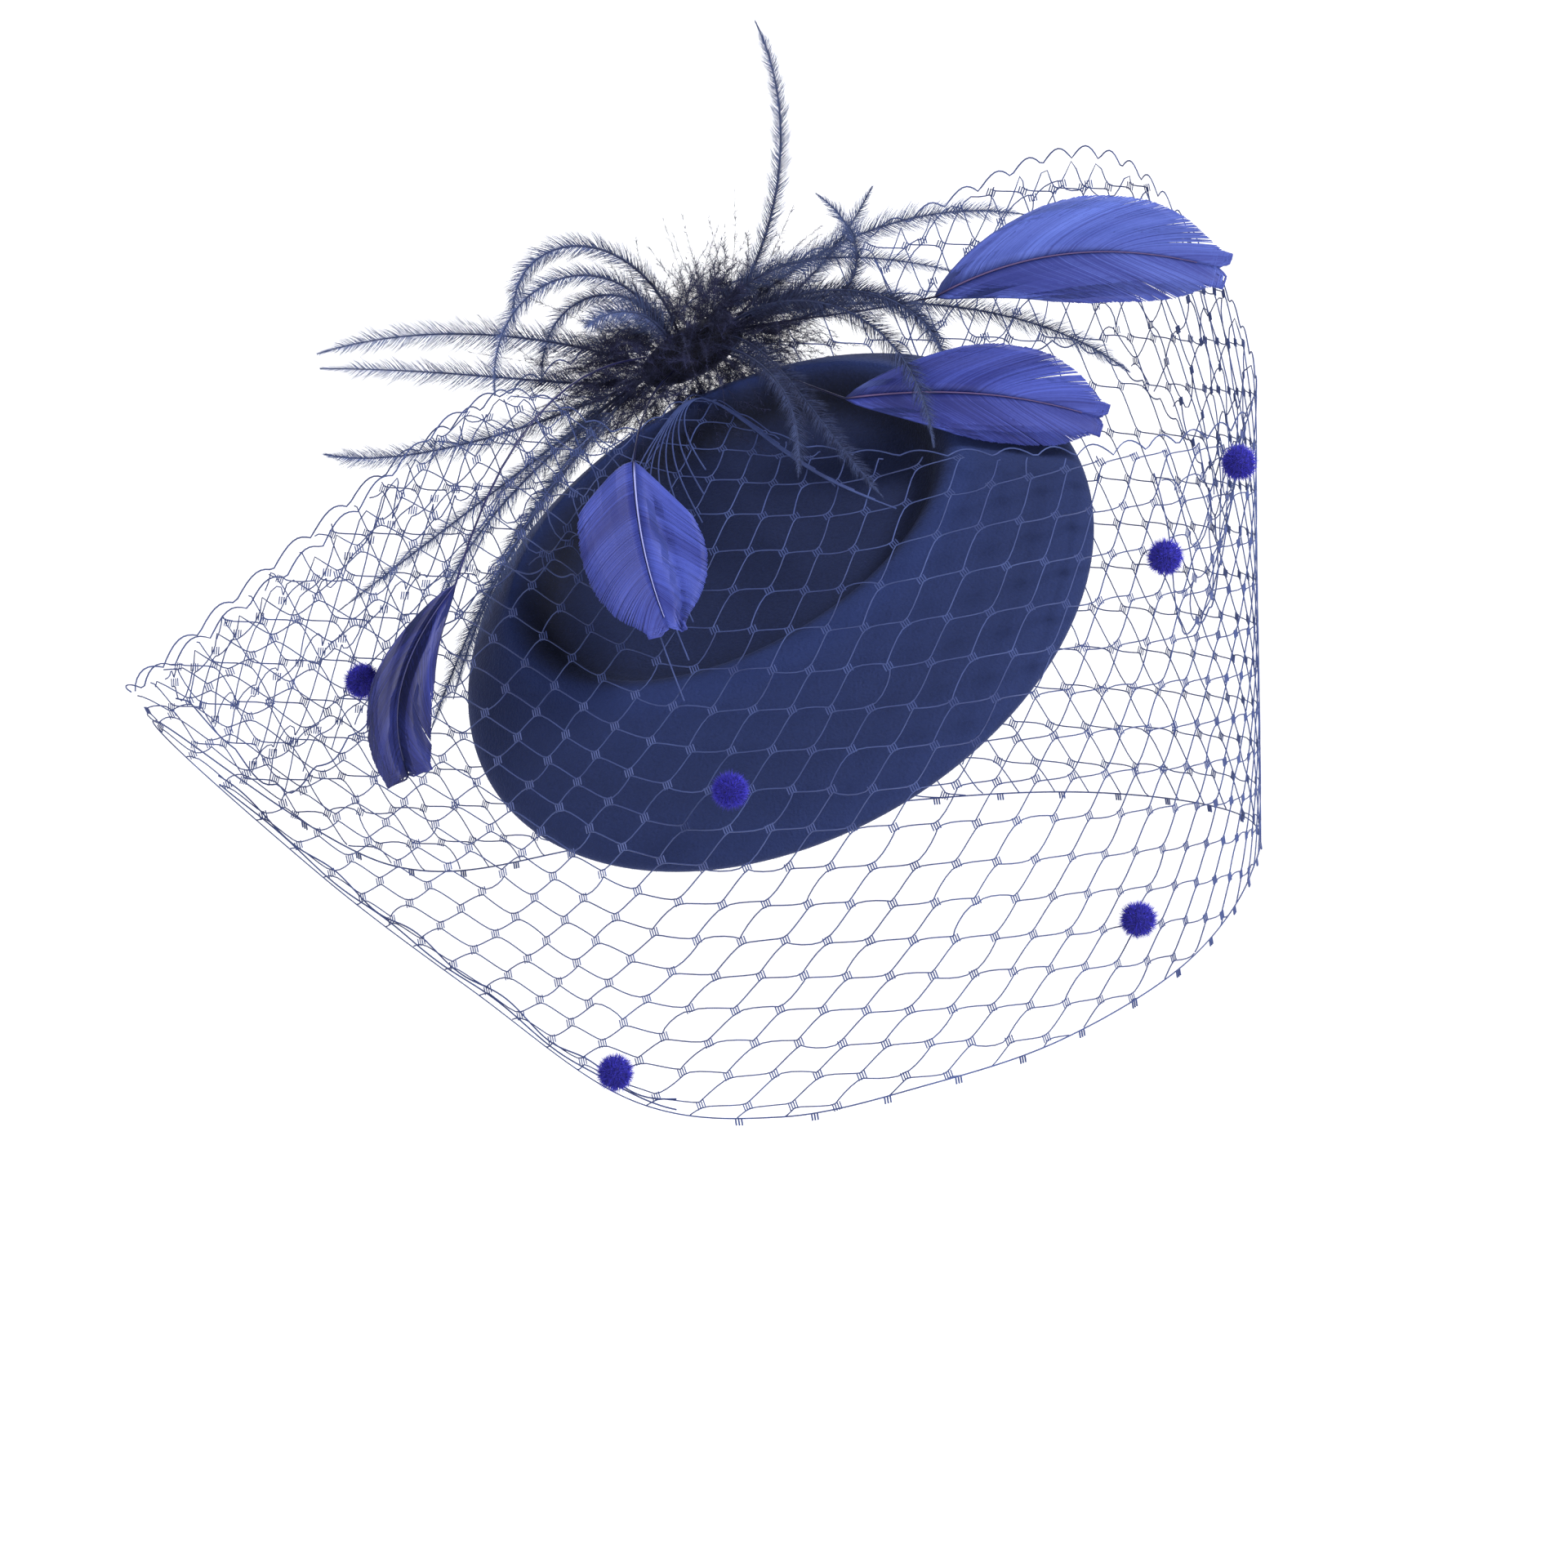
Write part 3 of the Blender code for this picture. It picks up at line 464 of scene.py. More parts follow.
@dataclass(frozen=True)
class Finish:
    """A finish of two tones that a fine grain and larger patches mix.

    Attributes:
        name: the material's name.
        dark: its darker tone.
        light: its lighter tone.
        roughness: how matt it is.
        sheen: how much soft light its fibres catch.
        sheen_tint: colour of that light.
        grain: size of the grain in metres.
        patch: size of the patches in metres.
        relief: height of the grain in metres.
        by_tone: whether the piece's own tone takes the place of the patches.
        fade: share of the light tone that the grain alone can bring.
        glow: how strongly it shines by itself.
    """

    name: str
    dark: Colour
    light: Colour
    roughness: float
    sheen: float = 0.0
    sheen_tint: Colour = (120, 135, 200)
    grain: float = 0.001
    patch: float = 0.02
    relief: float = 0.0
    by_tone: bool = False
    fade: float = 0.4
    glow: float = 0.0

    def build(self) -> bpy.types.Material:
        """The finish as a material of nodes."""
        material = bpy.data.materials.new(self.name)
        material.use_nodes = True
        nodes, links = material.node_tree.nodes, material.node_tree.links
        shader = nodes["Principled BSDF"]
        shader.inputs["Roughness"].default_value = self.roughness
        shader.inputs["Sheen Weight"].default_value = self.sheen
        shader.inputs["Sheen Roughness"].default_value = 0.45
        shader.inputs["Sheen Tint"].default_value = linear(self.sheen_tint)
        shader.inputs["Specular IOR Level"].default_value = 0.25
        place = nodes.new("ShaderNodeTexCoord").outputs["Object"]
        grain = self.noise(nodes, links, place, self.grain, 4.0)
        if self.by_tone:
            mark = nodes.new("ShaderNodeAttribute")
            mark.attribute_name = Marks.TONE.value
            patch = mark.outputs["Fac"]
        else:
            patch = self.noise(nodes, links, place, self.patch, 2.0)
        blend = nodes.new("ShaderNodeMix")
        blend.data_type = "FLOAT"
        blend.inputs[0].default_value = self.fade
        links.new(patch, blend.inputs[2])
        links.new(grain, blend.inputs[3])
        ramp = nodes.new("ShaderNodeValToRGB")
        ramp.color_ramp.elements[0].position = 0.25
        ramp.color_ramp.elements[0].color = linear(self.dark)
        ramp.color_ramp.elements[1].position = 0.75
        ramp.color_ramp.elements[1].color = linear(self.light)
        links.new(blend.outputs[0], ramp.inputs[0])
        links.new(ramp.outputs[0], shader.inputs["Base Color"])
        if self.glow:
            shader.inputs["Emission Color"].default_value = linear(self.light)
            shader.inputs["Emission Strength"].default_value = self.glow
        if self.relief:
            bump = nodes.new("ShaderNodeBump")
            bump.inputs["Distance"].default_value = self.relief
            links.new(grain, bump.inputs["Height"])
            links.new(bump.outputs[0], shader.inputs["Normal"])
        return material

    @staticmethod
    def noise(nodes: bpy.types.Nodes, links: bpy.types.NodeLinks,
              place: bpy.types.NodeSocket, size: float, detail: float) -> bpy.types.NodeSocket:
        """Add a noise of this size.

        Args:
            nodes: the material's nodes.
            links: the material's links.
            place: the coordinates that it reads.
            size: its size in metres.
            detail: how many finer layers it has.

        Returns:
            Its value.
        """
        cloud = nodes.new("ShaderNodeTexNoise")
        cloud.inputs["Scale"].default_value = 1.0 / size
        cloud.inputs["Detail"].default_value = detail
        links.new(place, cloud.inputs["Vector"])
        return cloud.outputs[0]


# The felt's colour follows mostly its painted shade and highlight tone, with a little grain mixed in.
FELT = Finish("navy_wool_felt", (9, 14, 32), (21, 34, 75), 0.92, sheen=0.12,
              sheen_tint=(70, 95, 165), grain=0.0008, relief=0.0004, by_tone=True, fade=0.22)
FELT_NAP = Finish("navy_felt_nap", (18, 28, 60), (36, 52, 100), 0.9, sheen=0.1)
THREAD = Finish("navy_net_thread", (36, 45, 86), (58, 72, 118), 0.6, grain=0.004)
PILE = Finish("chenille_pile", (17, 15, 84), (52, 48, 182), 0.85, sheen=0.3,
              sheen_tint=(110, 105, 215), by_tone=True)
DOWN = Finish("marabou_down", (8, 9, 24), (34, 35, 68), 0.8, sheen=0.15, by_tone=True)
FROND = Finish("navy_frond", (14, 18, 42), (68, 82, 124), 0.7, sheen=0.2, by_tone=True)
VANE = Finish("blue_goose_vane", (34, 42, 106), (72, 88, 160), 0.5, sheen=0.2,
              by_tone=True, fade=0.12)
DEEP_VANE = Finish("deep_goose_vane", (25, 31, 92), (54, 66, 142), 0.5, sheen=0.2,
                   by_tone=True, fade=0.12)
DARK_VANE = Finish("dark_goose_vane", (12, 15, 56), (32, 40, 106), 0.5, sheen=0.15,
                   by_tone=True, fade=0.12)
QUILL = Finish("goose_quill", (16, 18, 46), (74, 60, 96), 0.4, grain=0.002, by_tone=True)
DARK_QUILL = Finish("dark_goose_quill", (14, 16, 42), (30, 32, 84), 0.4, grain=0.002)
PALE_QUILL = Finish("pale_goose_quill", (16, 18, 46), (126, 130, 178), 0.35, grain=0.002,
                    by_tone=True)
COMB = Finish("comb_plastic", (14, 14, 18), (24, 24, 30), 0.42, grain=0.0008, relief=0.00002)
FLOOR = Finish("pale_floor", (246, 246, 247), (250, 250, 251), 0.9, grain=0.05, patch=0.6,
               glow=0.3)


def row_mesh(name: str, points: Points, edges: Points | tuple = (), faces: list | tuple = (),
             **marks: Points) -> bpy.types.Object:
    """Make a piece from points that are still in the layout's axes.

    Args:
        name: the piece's name.
        points: its points.
        edges: pairs of point numbers.
        faces: rings of point numbers.
        marks: values or vectors for each point, by the name of the attribute.

    Returns:
        The new object, turned into the row's axes.
    """
    mesh = bpy.data.meshes.new(name)
    pairs = np.asarray(edges).tolist() if len(edges) else []
    mesh.from_pydata((points @ LAYOUT_TO_ROW.T).tolist(), pairs, faces)
    for label, values in marks.items():
        vector = values.ndim > 1
        kind = "FLOAT_VECTOR" if vector else "FLOAT"
        attribute = mesh.attributes.new(label, kind, "POINT")
        data = values @ LAYOUT_TO_ROW.T if vector else values
        attribute.data.foreach_set("vector" if vector else "value", data.astype(np.float32).ravel())
    piece = bpy.data.objects.new(name, mesh)
    bpy.context.scene.collection.objects.link(piece)
    return piece


def chain(paths: list[Points]) -> tuple[Points, Points]:
    """Join up paths.

    Args:
        paths: the points of each path.

    Returns:
        All their points, and the pairs that link them.
    """
    pairs, start = [], 0
    for path in paths:
        numbers = np.arange(start, start + len(path))
        pairs.append(np.stack([numbers[:-1], numbers[1:]], axis=1))
        start += len(path)
    return np.concatenate(paths), np.concatenate(pairs)


def hand_over(piece: bpy.types.Object, slot: Slots, *nodes: str) -> bpy.types.Object:
    """Let a finished piece ride on the hat in place of its plain solids.

    Args:
        piece: the finished piece.
        slot: the record's slot that its finish comes from; it is not used.
        nodes: the solids that it stands for.

    Returns:
        The piece itself.
    """
    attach(piece, "root")
    if nodes:
        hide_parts(*nodes)
    piece.data.calc_loop_triangles()
    log.info("%s: %d triangles", piece.name, len(piece.data.loop_triangles))
    return piece


@dataclass
class FeltSaucer:
    """The oval felt base with its sunken dish, its nap and the comb under it."""

    length: float = 0.185
    width: float = 0.160
    wall: float = 0.0025
    rise: float = 0.018
    dish_length: float = 0.134
    dish_width: float = 0.092
    dish_offset: float = 0.021
    sides: int = 168
    rings_between: int = 4
    nap_length: float = 0.0008
    nap_thickness: float = 0.00006
    nap_density: float = 260000.0
    edge_round: float = 0.0008

    def profile(self) -> Points:
        """Smooth rows of reach and height from the felt's edge to its dish."""
        rows = np.array(FELT_RINGS)
        ends = np.vstack([2 * rows[0] - rows[1], rows, 2 * rows[-1] - rows[-2]])
        found = []
        for number in range(1, len(ends) - 2):
            for step in range(self.rings_between):
                t = np.array([number + step / self.rings_between])
                found.append(ring_curve(ends, t)[0])
        found.append(rows[-1])
        return np.array(found)

    def oval(self, reach: float) -> tuple[float, float, float]:
        """Middle and half axes of the ring at this reach.

        Args:
            reach: 2 at the rim, 1 at the crest and 0 at the dish's middle.

        Returns:
            How far its middle is off, half its length and half its width.
        """
        if reach <= 1.0:
            return self.dish_offset, reach * self.dish_length / 2, reach * self.dish_width / 2
        out = reach - 1.0
        half_length = (self.dish_length + out * (self.length - self.dish_length)) / 2
        half_width = (self.dish_width + out * (self.width - self.dish_width)) / 2
        return self.dish_offset * (1.0 - out), half_length, half_width

    def sheet(self) -> tuple[Points, list[tuple[int, ...]], Points]:
        """Points, faces and painted shading tones of the felt's upper surface, in the layout's axes."""
        angles = math.tau * np.arange(self.sides) / self.sides
        rings, tones = [], []
        for reach, height in self.profile():
            middle, half_length, half_width = self.oval(reach)
            # Each ring carries the painted shade or painted highlight of its reach as its tone.
            tones.extend([np.interp(reach, *np.array(FELT_PAINTED_SHADE).T)] * self.sides)
            level = np.full(self.sides, height * self.rise)
            rings.append(np.stack([
                half_length * np.cos(angles), middle + half_width * np.sin(angles), level,
            ], axis=1))
        points = np.concatenate(rings + [np.array([[0.0, self.dish_offset, rings[-1][0, 2]]])])
        faces = []
        for ring in range(len(rings) - 1):
            for side in range(self.sides):
                after, start = (side + 1) % self.sides, ring * self.sides
                faces.append((start + side, start + after, start + self.sides + after,
                              start + self.sides + side))
        last = (len(rings) - 1) * self.sides
        for side in range(self.sides):
            faces.append((last + side, last + (side + 1) % self.sides, len(points) - 1))
        return points @ FELT_TO_LAYOUT.T, faces, np.array([*tones, tones[-1]])

    def build(self) -> None:
        """Make the felt, raise its nap and dress the comb."""
        points, faces, tones = self.sheet()
        felt = row_mesh("felt_saucer", points, faces=faces, tone=tones)
        wall = felt.modifiers.new("wall", "SOLIDIFY")
        wall.thickness, wall.offset = self.wall, -1.0
        edge = felt.modifiers.new("edge", "BEVEL")
        edge.width, edge.segments = self.edge_round, 2
        edge.limit_method, edge.angle_limit = "ANGLE", math.radians(50.0)
        settle(felt)
        felt.data.shade_smooth()
        felt.data.materials.append(FELT.build())
        hand_over(felt, Slots.FELT, "felt_base")
        nap = bpy.data.objects.new("felt_nap", felt.data.copy())
        bpy.context.scene.collection.objects.link(nap)
        NAP.grow(nap, Density=self.nap_density, Length=self.nap_length,
                 Thickness=self.nap_thickness, Seed=3, Material=FELT_NAP.build())
        hand_over(nap, Slots.FELT)
        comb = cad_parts["hair_comb"]
        comb.data.materials.clear()
        comb.data.materials.append(COMB.build())


@dataclass
class VeilSurface:
    """The form that the net hangs in: a loop with a top edge, a bend and a hem.

    A place on it is given by its travel round the loop and by its level, both in metres.
    Past the top edge the surface turns in and hangs down inside as a frill.
    """

    reach: float = 0.181
    depth: float = 0.165
    rise: float = 0.125
    drop: float = 0.130
    middle: float = 0.6
    frill_width: float = 0.052
    frill_flare: float = 0.009
    frill_gap: float = 0.0016
    frill_limit: float = 0.8
    frill_spans: tuple[tuple[float, float], ...] = ((0.2, 3.2), (7.0, 11.2))
    frill_ease: float = 0.5
    samples: int = 561
    steps: int = 21
    stations: Points = field(init=False)
    travels: Points = field(init=False)
    lengths: Points = field(init=False)

    def __post_init__(self) -> None:
        """Work out the rails, and measure the loop and its columns."""
        tops, bends, hems = [], [], []
        top_size = np.array((self.reach, self.depth, self.rise))
        hem_size = np.array((self.reach, self.depth, self.drop))
        for top_share, hem_share, (reach, sag) in VEIL_STATIONS:
            hem = np.array(hem_share) * hem_size
            if top_share is None:
                top = FELT_TO_LAYOUT @ np.array(GATHER_SEAT)
            else:
                top = np.array(top_share) * top_size
            bend = top + reach * (hem - top)
            bend[2] = top[2] + sag * (hem[2] - top[2])
            tops.append(top)
            bends.append(bend)
            hems.append(hem)
        self.rails = [np.array(rail) for rail in (tops, bends, hems)]
        self.stations = np.linspace(0.0, len(VEIL_STATIONS), self.samples)
        line = self.place(self.stations, np.full(self.samples, self.middle))
        self.travels = np.concatenate([[0.0], np.cumsum(np.linalg.norm(np.diff(line, axis=0), axis=1))])
        self.lengths = self.columns(self.stations)[:, -1]

    def place(self, station: Points, drop: Points) -> Points:
        """Points on the surface, from its top at 0 to its hem at 1."""
        top, bend, hem = (ring_curve(rail, station) for rail in self.rails)
        t = drop[:, None]
        return (1 - t) ** 2 * top + 2 * t * (1 - t) * bend + t ** 2 * hem

    def normal(self, station: Points, drop: Points) -> Points:
        """Outward normals of the surface."""
        step = 0.02
        along = self.place(station + step, drop) - self.place(station - step, drop)
        down = self.place(station, np.minimum(drop + step, 1.0))
        down = down - self.place(station, np.maximum(drop - step, 0.0))
        return unit(np.cross(down, along))

    def columns(self, station: Points) -> Points:
        """Lengths from the hem up to each of a few steps of the way to the top."""
        shares = np.linspace(1.0, 0.0, self.steps)
        rows = [self.place(station, np.full(len(station), share)) for share in shares]
        parts = np.linalg.norm(np.diff(np.array(rows), axis=0), axis=2)
        return np.concatenate([np.zeros((1, len(station))), np.cumsum(parts, axis=0)]).T

    def drop_at(self, station: Points, height: Points) -> Points:
        """Share of the way down where a height above the hem lies."""
        shares = np.linspace(1.0, 0.0, self.steps)
        columns = self.columns(station)
        return np.array([np.interp(h, column, shares) for h, column in zip(height, columns)])

    def base(self, station: Points) -> Points:
        """Level of the hem: it stays with the rows at the left and cuts them at the right."""
        heights = ring_curve(self.rails[2], station)[:, 2]
        lowest = self.rails[2][GATHER_STATION, 2]
        return np.where(station < GATHER_STATION, 0.0, heights - lowest)

    def frill(self, station: Points) -> Points:
        """Depth of the turned-in net at each station."""
        length = np.interp(station, self.stations, self.lengths)
        wide = np.minimum(self.frill_width, self.frill_limit * length)
        share = sum(
            smooth((station - first) / self.frill_ease) * smooth((last - station) / self.frill_ease)
            for first, last in self.frill_spans
        )
        return wide * share

    def station_at(self, travel: Points) -> Points:
        """Station that each travel round the loop lies at."""
        return np.interp(travel, self.travels, self.stations)

    def height(self, travel: Points, level: Points) -> Points:
        """Height above the hem along the surface."""
        return level - self.base(self.station_at(travel))

    def over(self, travel: Points, level: Points) -> Points:
        """How far past the top edge a place lies."""
        station = self.station_at(travel)
        return self.height(travel, level) - np.interp(station, self.stations, self.lengths)

    def inside(self, travel: Points, level: Points) -> Points:
        """Whether a place is on the net."""
        station = self.station_at(travel)
        height = level - self.base(station)
        lid = np.interp(station, self.stations, self.lengths) + self.frill(station)
        return (height >= 0.0) & (height <= lid) & (travel > 0.0) & (travel < self.travels[-1])

    def spot(self, travel: Points, level: Points) -> Points:
        """Points of the net in the layout's axes.

        Args:
            travel: ways round the loop from the left tip.
            level: levels above the hem's lowest row.

        Returns:
            One point for each place, turned in past the top edge.
        """
        station = self.station_at(travel)
        length = np.interp(station, self.stations, self.lengths)
        height = level - self.base(station)
        over = np.maximum(height - length, 0.0)
        drop = self.drop_at(station, np.clip(height - 2 * over, 0.0, None))
        inset = self.frill_gap * (1.0 - np.exp(-over / self.frill_gap))
        inset = inset + self.frill_flare * over / self.frill_width
        return self.place(station, drop) - inset[:, None] * self.normal(station, drop)

    def facing(self, travel: Points, level: Points) -> Points:
        """Outward normals at places of the net."""
        station = self.station_at(travel)
        length = np.interp(station, self.stations, self.lengths)
        height = level - self.base(station)
        over = np.maximum(height - length, 0.0)
        return self.normal(station, self.drop_at(station, np.clip(height - 2 * over, 0.0, None)))


@dataclass
class Veil:
    """The netting with its knots, its hem and its scalloped edges."""

    surface: VeilSurface
    pitch: float = 0.0113
    row: float = 0.0080
    row_growth: float = 0.00017
    shear: float = 0.60
    thread: float = 0.00043
    thread_sides: int = 3
    thread_steps: int = 6
    knot_half: float = 0.00080
    knot_run: float = 0.0018
    knot_angle: float = math.radians(30.0)
    bar_angle: float = math.radians(108.0)
    bar_count: int = 4
    bar_length: float = 0.0022
    bar_thickness: float = 0.00036
    bar_pitch: float = 0.00070
    sway: float = 0.0007
    frill_sway: float = 0.0030
    hem_thread: float = 0.00046
    scallop_rise: float = 0.0036
    edge_lanes: tuple[float, ...] = (0.0016, 0.0034)
    lane_span: tuple[float, float] = (0.55, 3.3)
    stub_every: float = 0.019
    stub_length: float = 0.0019
    stub_start: float = 3.7
    stub_end: float = 0.05
    stub_gap: float = 1.6
    stub_group: int = 3
    stub_lean: float = 0.0003
    edge_margin: float = 0.001
    edge_samples: int = 620
    lane_samples: int = 120
    lane_swing: float = 0.35
    lane_waves: float = 160.0
    lane_wave_step: float = 45.0
    fringe_share: float = 0.6
    least_frill: float = 0.004
    gather_strands: int = 8
    arc_aside: tuple[float, float] = (0.25, 0.75)
    arc_drop: tuple[float, float] = (0.16, 0.42)
    fan_aside: tuple[float, float] = (0.5, 0.9)
    fan_drop: tuple[float, float] = (0.02, 0.20)
    # The flat size isn't the net's real cut, which is about 0.23 by 0.85 m. Open netting is
    # mostly holes, so the width was chosen smaller than the real cut. The sheet's test by
    # area refuses the real cut, so the width was chosen to pass it. The area is what the
    # dressed net itself measures, not a separate estimate.
    flat_width: float = 0.055
    flat_length: float = 0.94
    thread_area: float = 0.0163
    seed: int = 11

    def lattice(self) -> tuple[Points, Points]:
        """Column and row numbers of all the knots that could lie on the net."""
        surface = self.surface
        highest = surface.base(surface.stations) + surface.lengths + surface.frill_width
        rows = int(highest.max() / self.row) + 2
        columns = int(surface.travels[-1] / self.pitch) + 2
        first = -int(rows * self.shear) - 1
        return np.meshgrid(np.arange(first, columns), np.arange(-1, rows), indexing="ij")

    def knot_place(self, column: Points, row: Points) -> tuple[Points, Points]:
        """Travel and level of each knot."""
        return (column + self.shear * row) * self.pitch, (row + 0.4) * (self.row + self.row_growth * row)

    def threads(self) -> tuple[Points, Points]:
        """Travels and levels along every thread between two knots, a row for each."""
        rng = np.random.default_rng(self.seed)
        column, row = (grid.ravel() for grid in self.lattice())
        axis = np.array((math.cos(self.knot_angle), math.sin(self.knot_angle)))
        across = np.array((-axis[1], axis[0])) * self.knot_half
        travels, levels = [], []
        for step, sign in (((1, 0), -1.0), ((0, 1), 1.0)):
            start = np.stack(self.knot_place(column, row), axis=1)
            end = np.stack(self.knot_place(column + step[0], row + step[1]), axis=1)
            keep = self.surface.inside(*start.T) | self.surface.inside(*end.T)
            start, end = start[keep], end[keep]
            near, far = self.trim(start, end)
            past = self.surface.over(*((start + end) / 2).T) > 0.0
            sway = np.where(past, self.frill_sway, self.sway)[:, None]
            bow = rng.normal(0.0, 1.0, (len(start), 1)) * sway
            side = unit(np.stack([start[:, 1] - end[:, 1], end[:, 0] - start[:, 0]], axis=1))
            control = np.array([
                start + sign * across, start + sign * across + self.knot_run * axis + bow * side,
                end - sign * across - self.knot_run * axis + bow * side, end - sign * across,
            ])
            shares = near[:, None] + (far - near)[:, None] * np.linspace(0.0, 1.0, self.thread_steps)
            s = shares[:, :, None]
            a, b, c, d = (point[:, None, :] for point in control)
            path = (1 - s) ** 3 * a + 3 * s * (1 - s) ** 2 * b + 3 * s * s * (1 - s) * c + s ** 3 * d
            travels.append(path[:, :, 0])
            levels.append(path[:, :, 1])
        return np.concatenate(travels), np.concatenate(levels)

    def trim(self, start: Points, end: Points) -> tuple[Points, Points]:
        """Shares between which each thread lies on the net.

        Args:
            start: travel and level of each thread's first knot.
            end: travel and level of its last knot.

        Returns:
            Where each thread starts and ends.
        """
        starts_in, ends_in = self.surface.inside(*start.T), self.surface.inside(*end.T)
        low, high = np.zeros(len(start)), np.ones(len(start))
        for _ in range(12):
            middle = (low + high) / 2
            here = self.surface.inside(*(start + middle[:, None] * (end - start)).T)
            low = np.where(here == starts_in, middle, low)
            high = np.where(here == starts_in, high, middle)
        near = np.where(starts_in, 0.0, high)
        far = np.where(ends_in, 1.0, low)
        return near, far

    def knots(self) -> tuple[Points, Points]:
        """Travel and level of the knots that are on the net."""
        column, row = (grid.ravel() for grid in self.lattice())
        travel, level = self.knot_place(column, row)
        keep = self.surface.inside(travel, level)
        return travel[keep], level[keep]

    def netting(self, name: str, threads: tuple[Points, Points], knots: tuple[Points, Points],
                material: bpy.types.Material) -> bpy.types.Object:
        """Make a stretch of net as one piece.

        Args:
            name: the piece's name.
            threads: travels and levels along its threads.
            knots: travels and levels of its knots.
            material: its finish.

        Returns:
            The new piece.
        """
        surface = self.surface
        spots = surface.spot(threads[0].ravel(), threads[1].ravel())
        paths = list(spots.reshape(*threads[0].shape, 3))
        points, pairs = chain(paths)
        travel, level = knots
        centres = surface.spot(travel, level)
        normals = surface.facing(travel, level)
        step = self.bar_pitch
        bar = np.array((math.cos(self.bar_angle), math.sin(self.bar_angle))) * step
        along_bar = unit(surface.spot(travel + bar[0], level + bar[1]) - centres)
        along = unit(np.cross(along_bar, normals))
        swept = len(points)
        everything = np.concatenate([points, centres])
        lean = np.concatenate([np.zeros((swept, 3)), normals])
        side = np.concatenate([np.zeros((swept, 3)), along])
        knot = np.concatenate([np.zeros(swept), np.ones(len(centres))])
        net = row_mesh(name, everything, pairs, lean=lean, side=side, knot=knot,
                       girth=np.ones(len(everything)))
        NETTING.grow(net, Thread=self.thread, Sides=self.thread_sides, Bars=self.bar_count,
                     Bar_Length=self.bar_length, Bar_Thickness=self.bar_thickness,
                     Bar_Pitch=self.bar_pitch, Material=material)
        return net

    def edge_cords(self) -> list[Points]:
        """Paths of the hem, its stubs, the lanes beside it and the scalloped edges."""
        surface = self.surface
        end = surface.travels[-1] - self.edge_margin
        whole = np.linspace(self.edge_margin, end, self.edge_samples)
        hem = surface.base(surface.station_at(whole))
        paths = [surface.spot(whole, hem)]
        first, last = np.interp(self.lane_span, surface.stations, surface.travels)
        lane = np.linspace(first, last, self.lane_samples)
        for number, rise in enumerate(self.edge_lanes):
            waves = self.lane_waves + self.lane_wave_step * number
            wave = rise * (1.0 + self.lane_swing * np.sin(lane * waves))
            paths.append(surface.spot(lane, surface.base(surface.station_at(lane)) + wave))
        lengths = np.interp(surface.station_at(whole), surface.stations, surface.lengths)
        arc = np.abs(np.sin(math.pi * whole / self.pitch))
        rim = surface.spot(whole, hem + lengths)
        paths.append(rim + (self.scallop_rise * arc)[:, None] * self.rim_up(whole))
        deep = surface.frill(surface.station_at(whole))
        fringe = surface.spot(whole, hem + lengths + deep + self.fringe_share * self.scallop_rise * arc)
        shown = deep > self.least_frill
        for start in np.flatnonzero(shown[1:] & ~shown[:-1]):
            stop = start + 1 + np.argmin(np.append(shown[start + 1:], False))
            paths.append(fringe[start + 1:stop])
        start = np.interp(self.stub_start, surface.stations, surface.travels)
        for travel in np.arange(start, surface.travels[-1] - self.stub_end, self.stub_every):
            for place in travel + self.hem_thread * self.stub_gap * np.arange(self.stub_group):
                root = surface.spot(np.array([place]), surface.base(surface.station_at(np.array([place]))))
                tip = root + np.array((self.stub_lean, 0.0, -self.stub_length))
                paths.append(np.concatenate([root, tip]))
        return paths + self.gather_cords()

    def gather_cords(self) -> list[Points]:
        """Paths of the strands that fan out from the gathered top, left in arcs and right."""
        surface = self.surface
        t = np.linspace(0.0, 1.0, 26)
        paths = []
        for number in range(self.gather_strands):
            share = (number + 0.5) / self.gather_strands
            arc_aside, arc_drop, fan_aside, fan_drop = (
                least + spread * share
                for least, spread in (self.arc_aside, self.arc_drop, self.fan_aside, self.fan_drop)
            )
            arcs = (
                (-arc_aside * np.sin(0.8 * math.pi * t),
                 arc_drop * (1.0 - np.cos(math.pi * t / 2)) + 0.03 * t),
                (fan_aside * t ** 0.8, fan_drop * t),
            )
            for aside, drop in arcs:
                station = GATHER_STATION + aside
                place = surface.place(station, drop)
                paths.append(place + self.thread * surface.normal(station, drop))
        return paths

    def rim_up(self, travel: Points) -> Points:
        """Directions that the top edge's scallops stand in."""
        surface = self.surface
        station = surface.station_at(travel)
        top = surface.place(station, np.zeros(len(station)))
        return unit(top - surface.place(station, np.full(len(station), 0.04)))

    def build(self) -> None:
        """Make the net, its frills and its edges."""
        surface = self.surface
        material = THREAD.build()
        travels, levels = self.threads()
        middle = self.thread_steps // 2
        past = surface.over(travels[:, middle], levels[:, middle]) > 0.0
        left = surface.station_at(travels[:, middle]) < GATHER_STATION
        knot_travel, knot_level = self.knots()
        knot_past = surface.over(knot_travel, knot_level) > 0.0
        knot_left = surface.station_at(knot_travel) < GATHER_STATION
        pieces = []
        for name, node, threads, knots in (
            ("veil_netting", "veil_net", ~past, ~knot_past),
            ("frill_netting_left", "veil_frill_left", past & left, knot_past & knot_left),
            ("frill_netting_right", "veil_frill_right", past & ~left, knot_past & ~knot_left),
        ):
            piece = self.netting(name, (travels[threads], levels[threads]),
                                 (knot_travel[knots], knot_level[knots]), material)
            pieces.append(hand_over(piece, Slots.NET, node))
        points, pairs = chain(self.edge_cords())
        hem = row_mesh("veil_hem", points, pairs, girth=np.ones(len(points)))
        CORDS.grow(hem, Thickness=self.hem_thread, Sides=4, Material=material)
        hand_over(hem, Slots.NET)
        net, *frills = pieces
        report_surface(net)


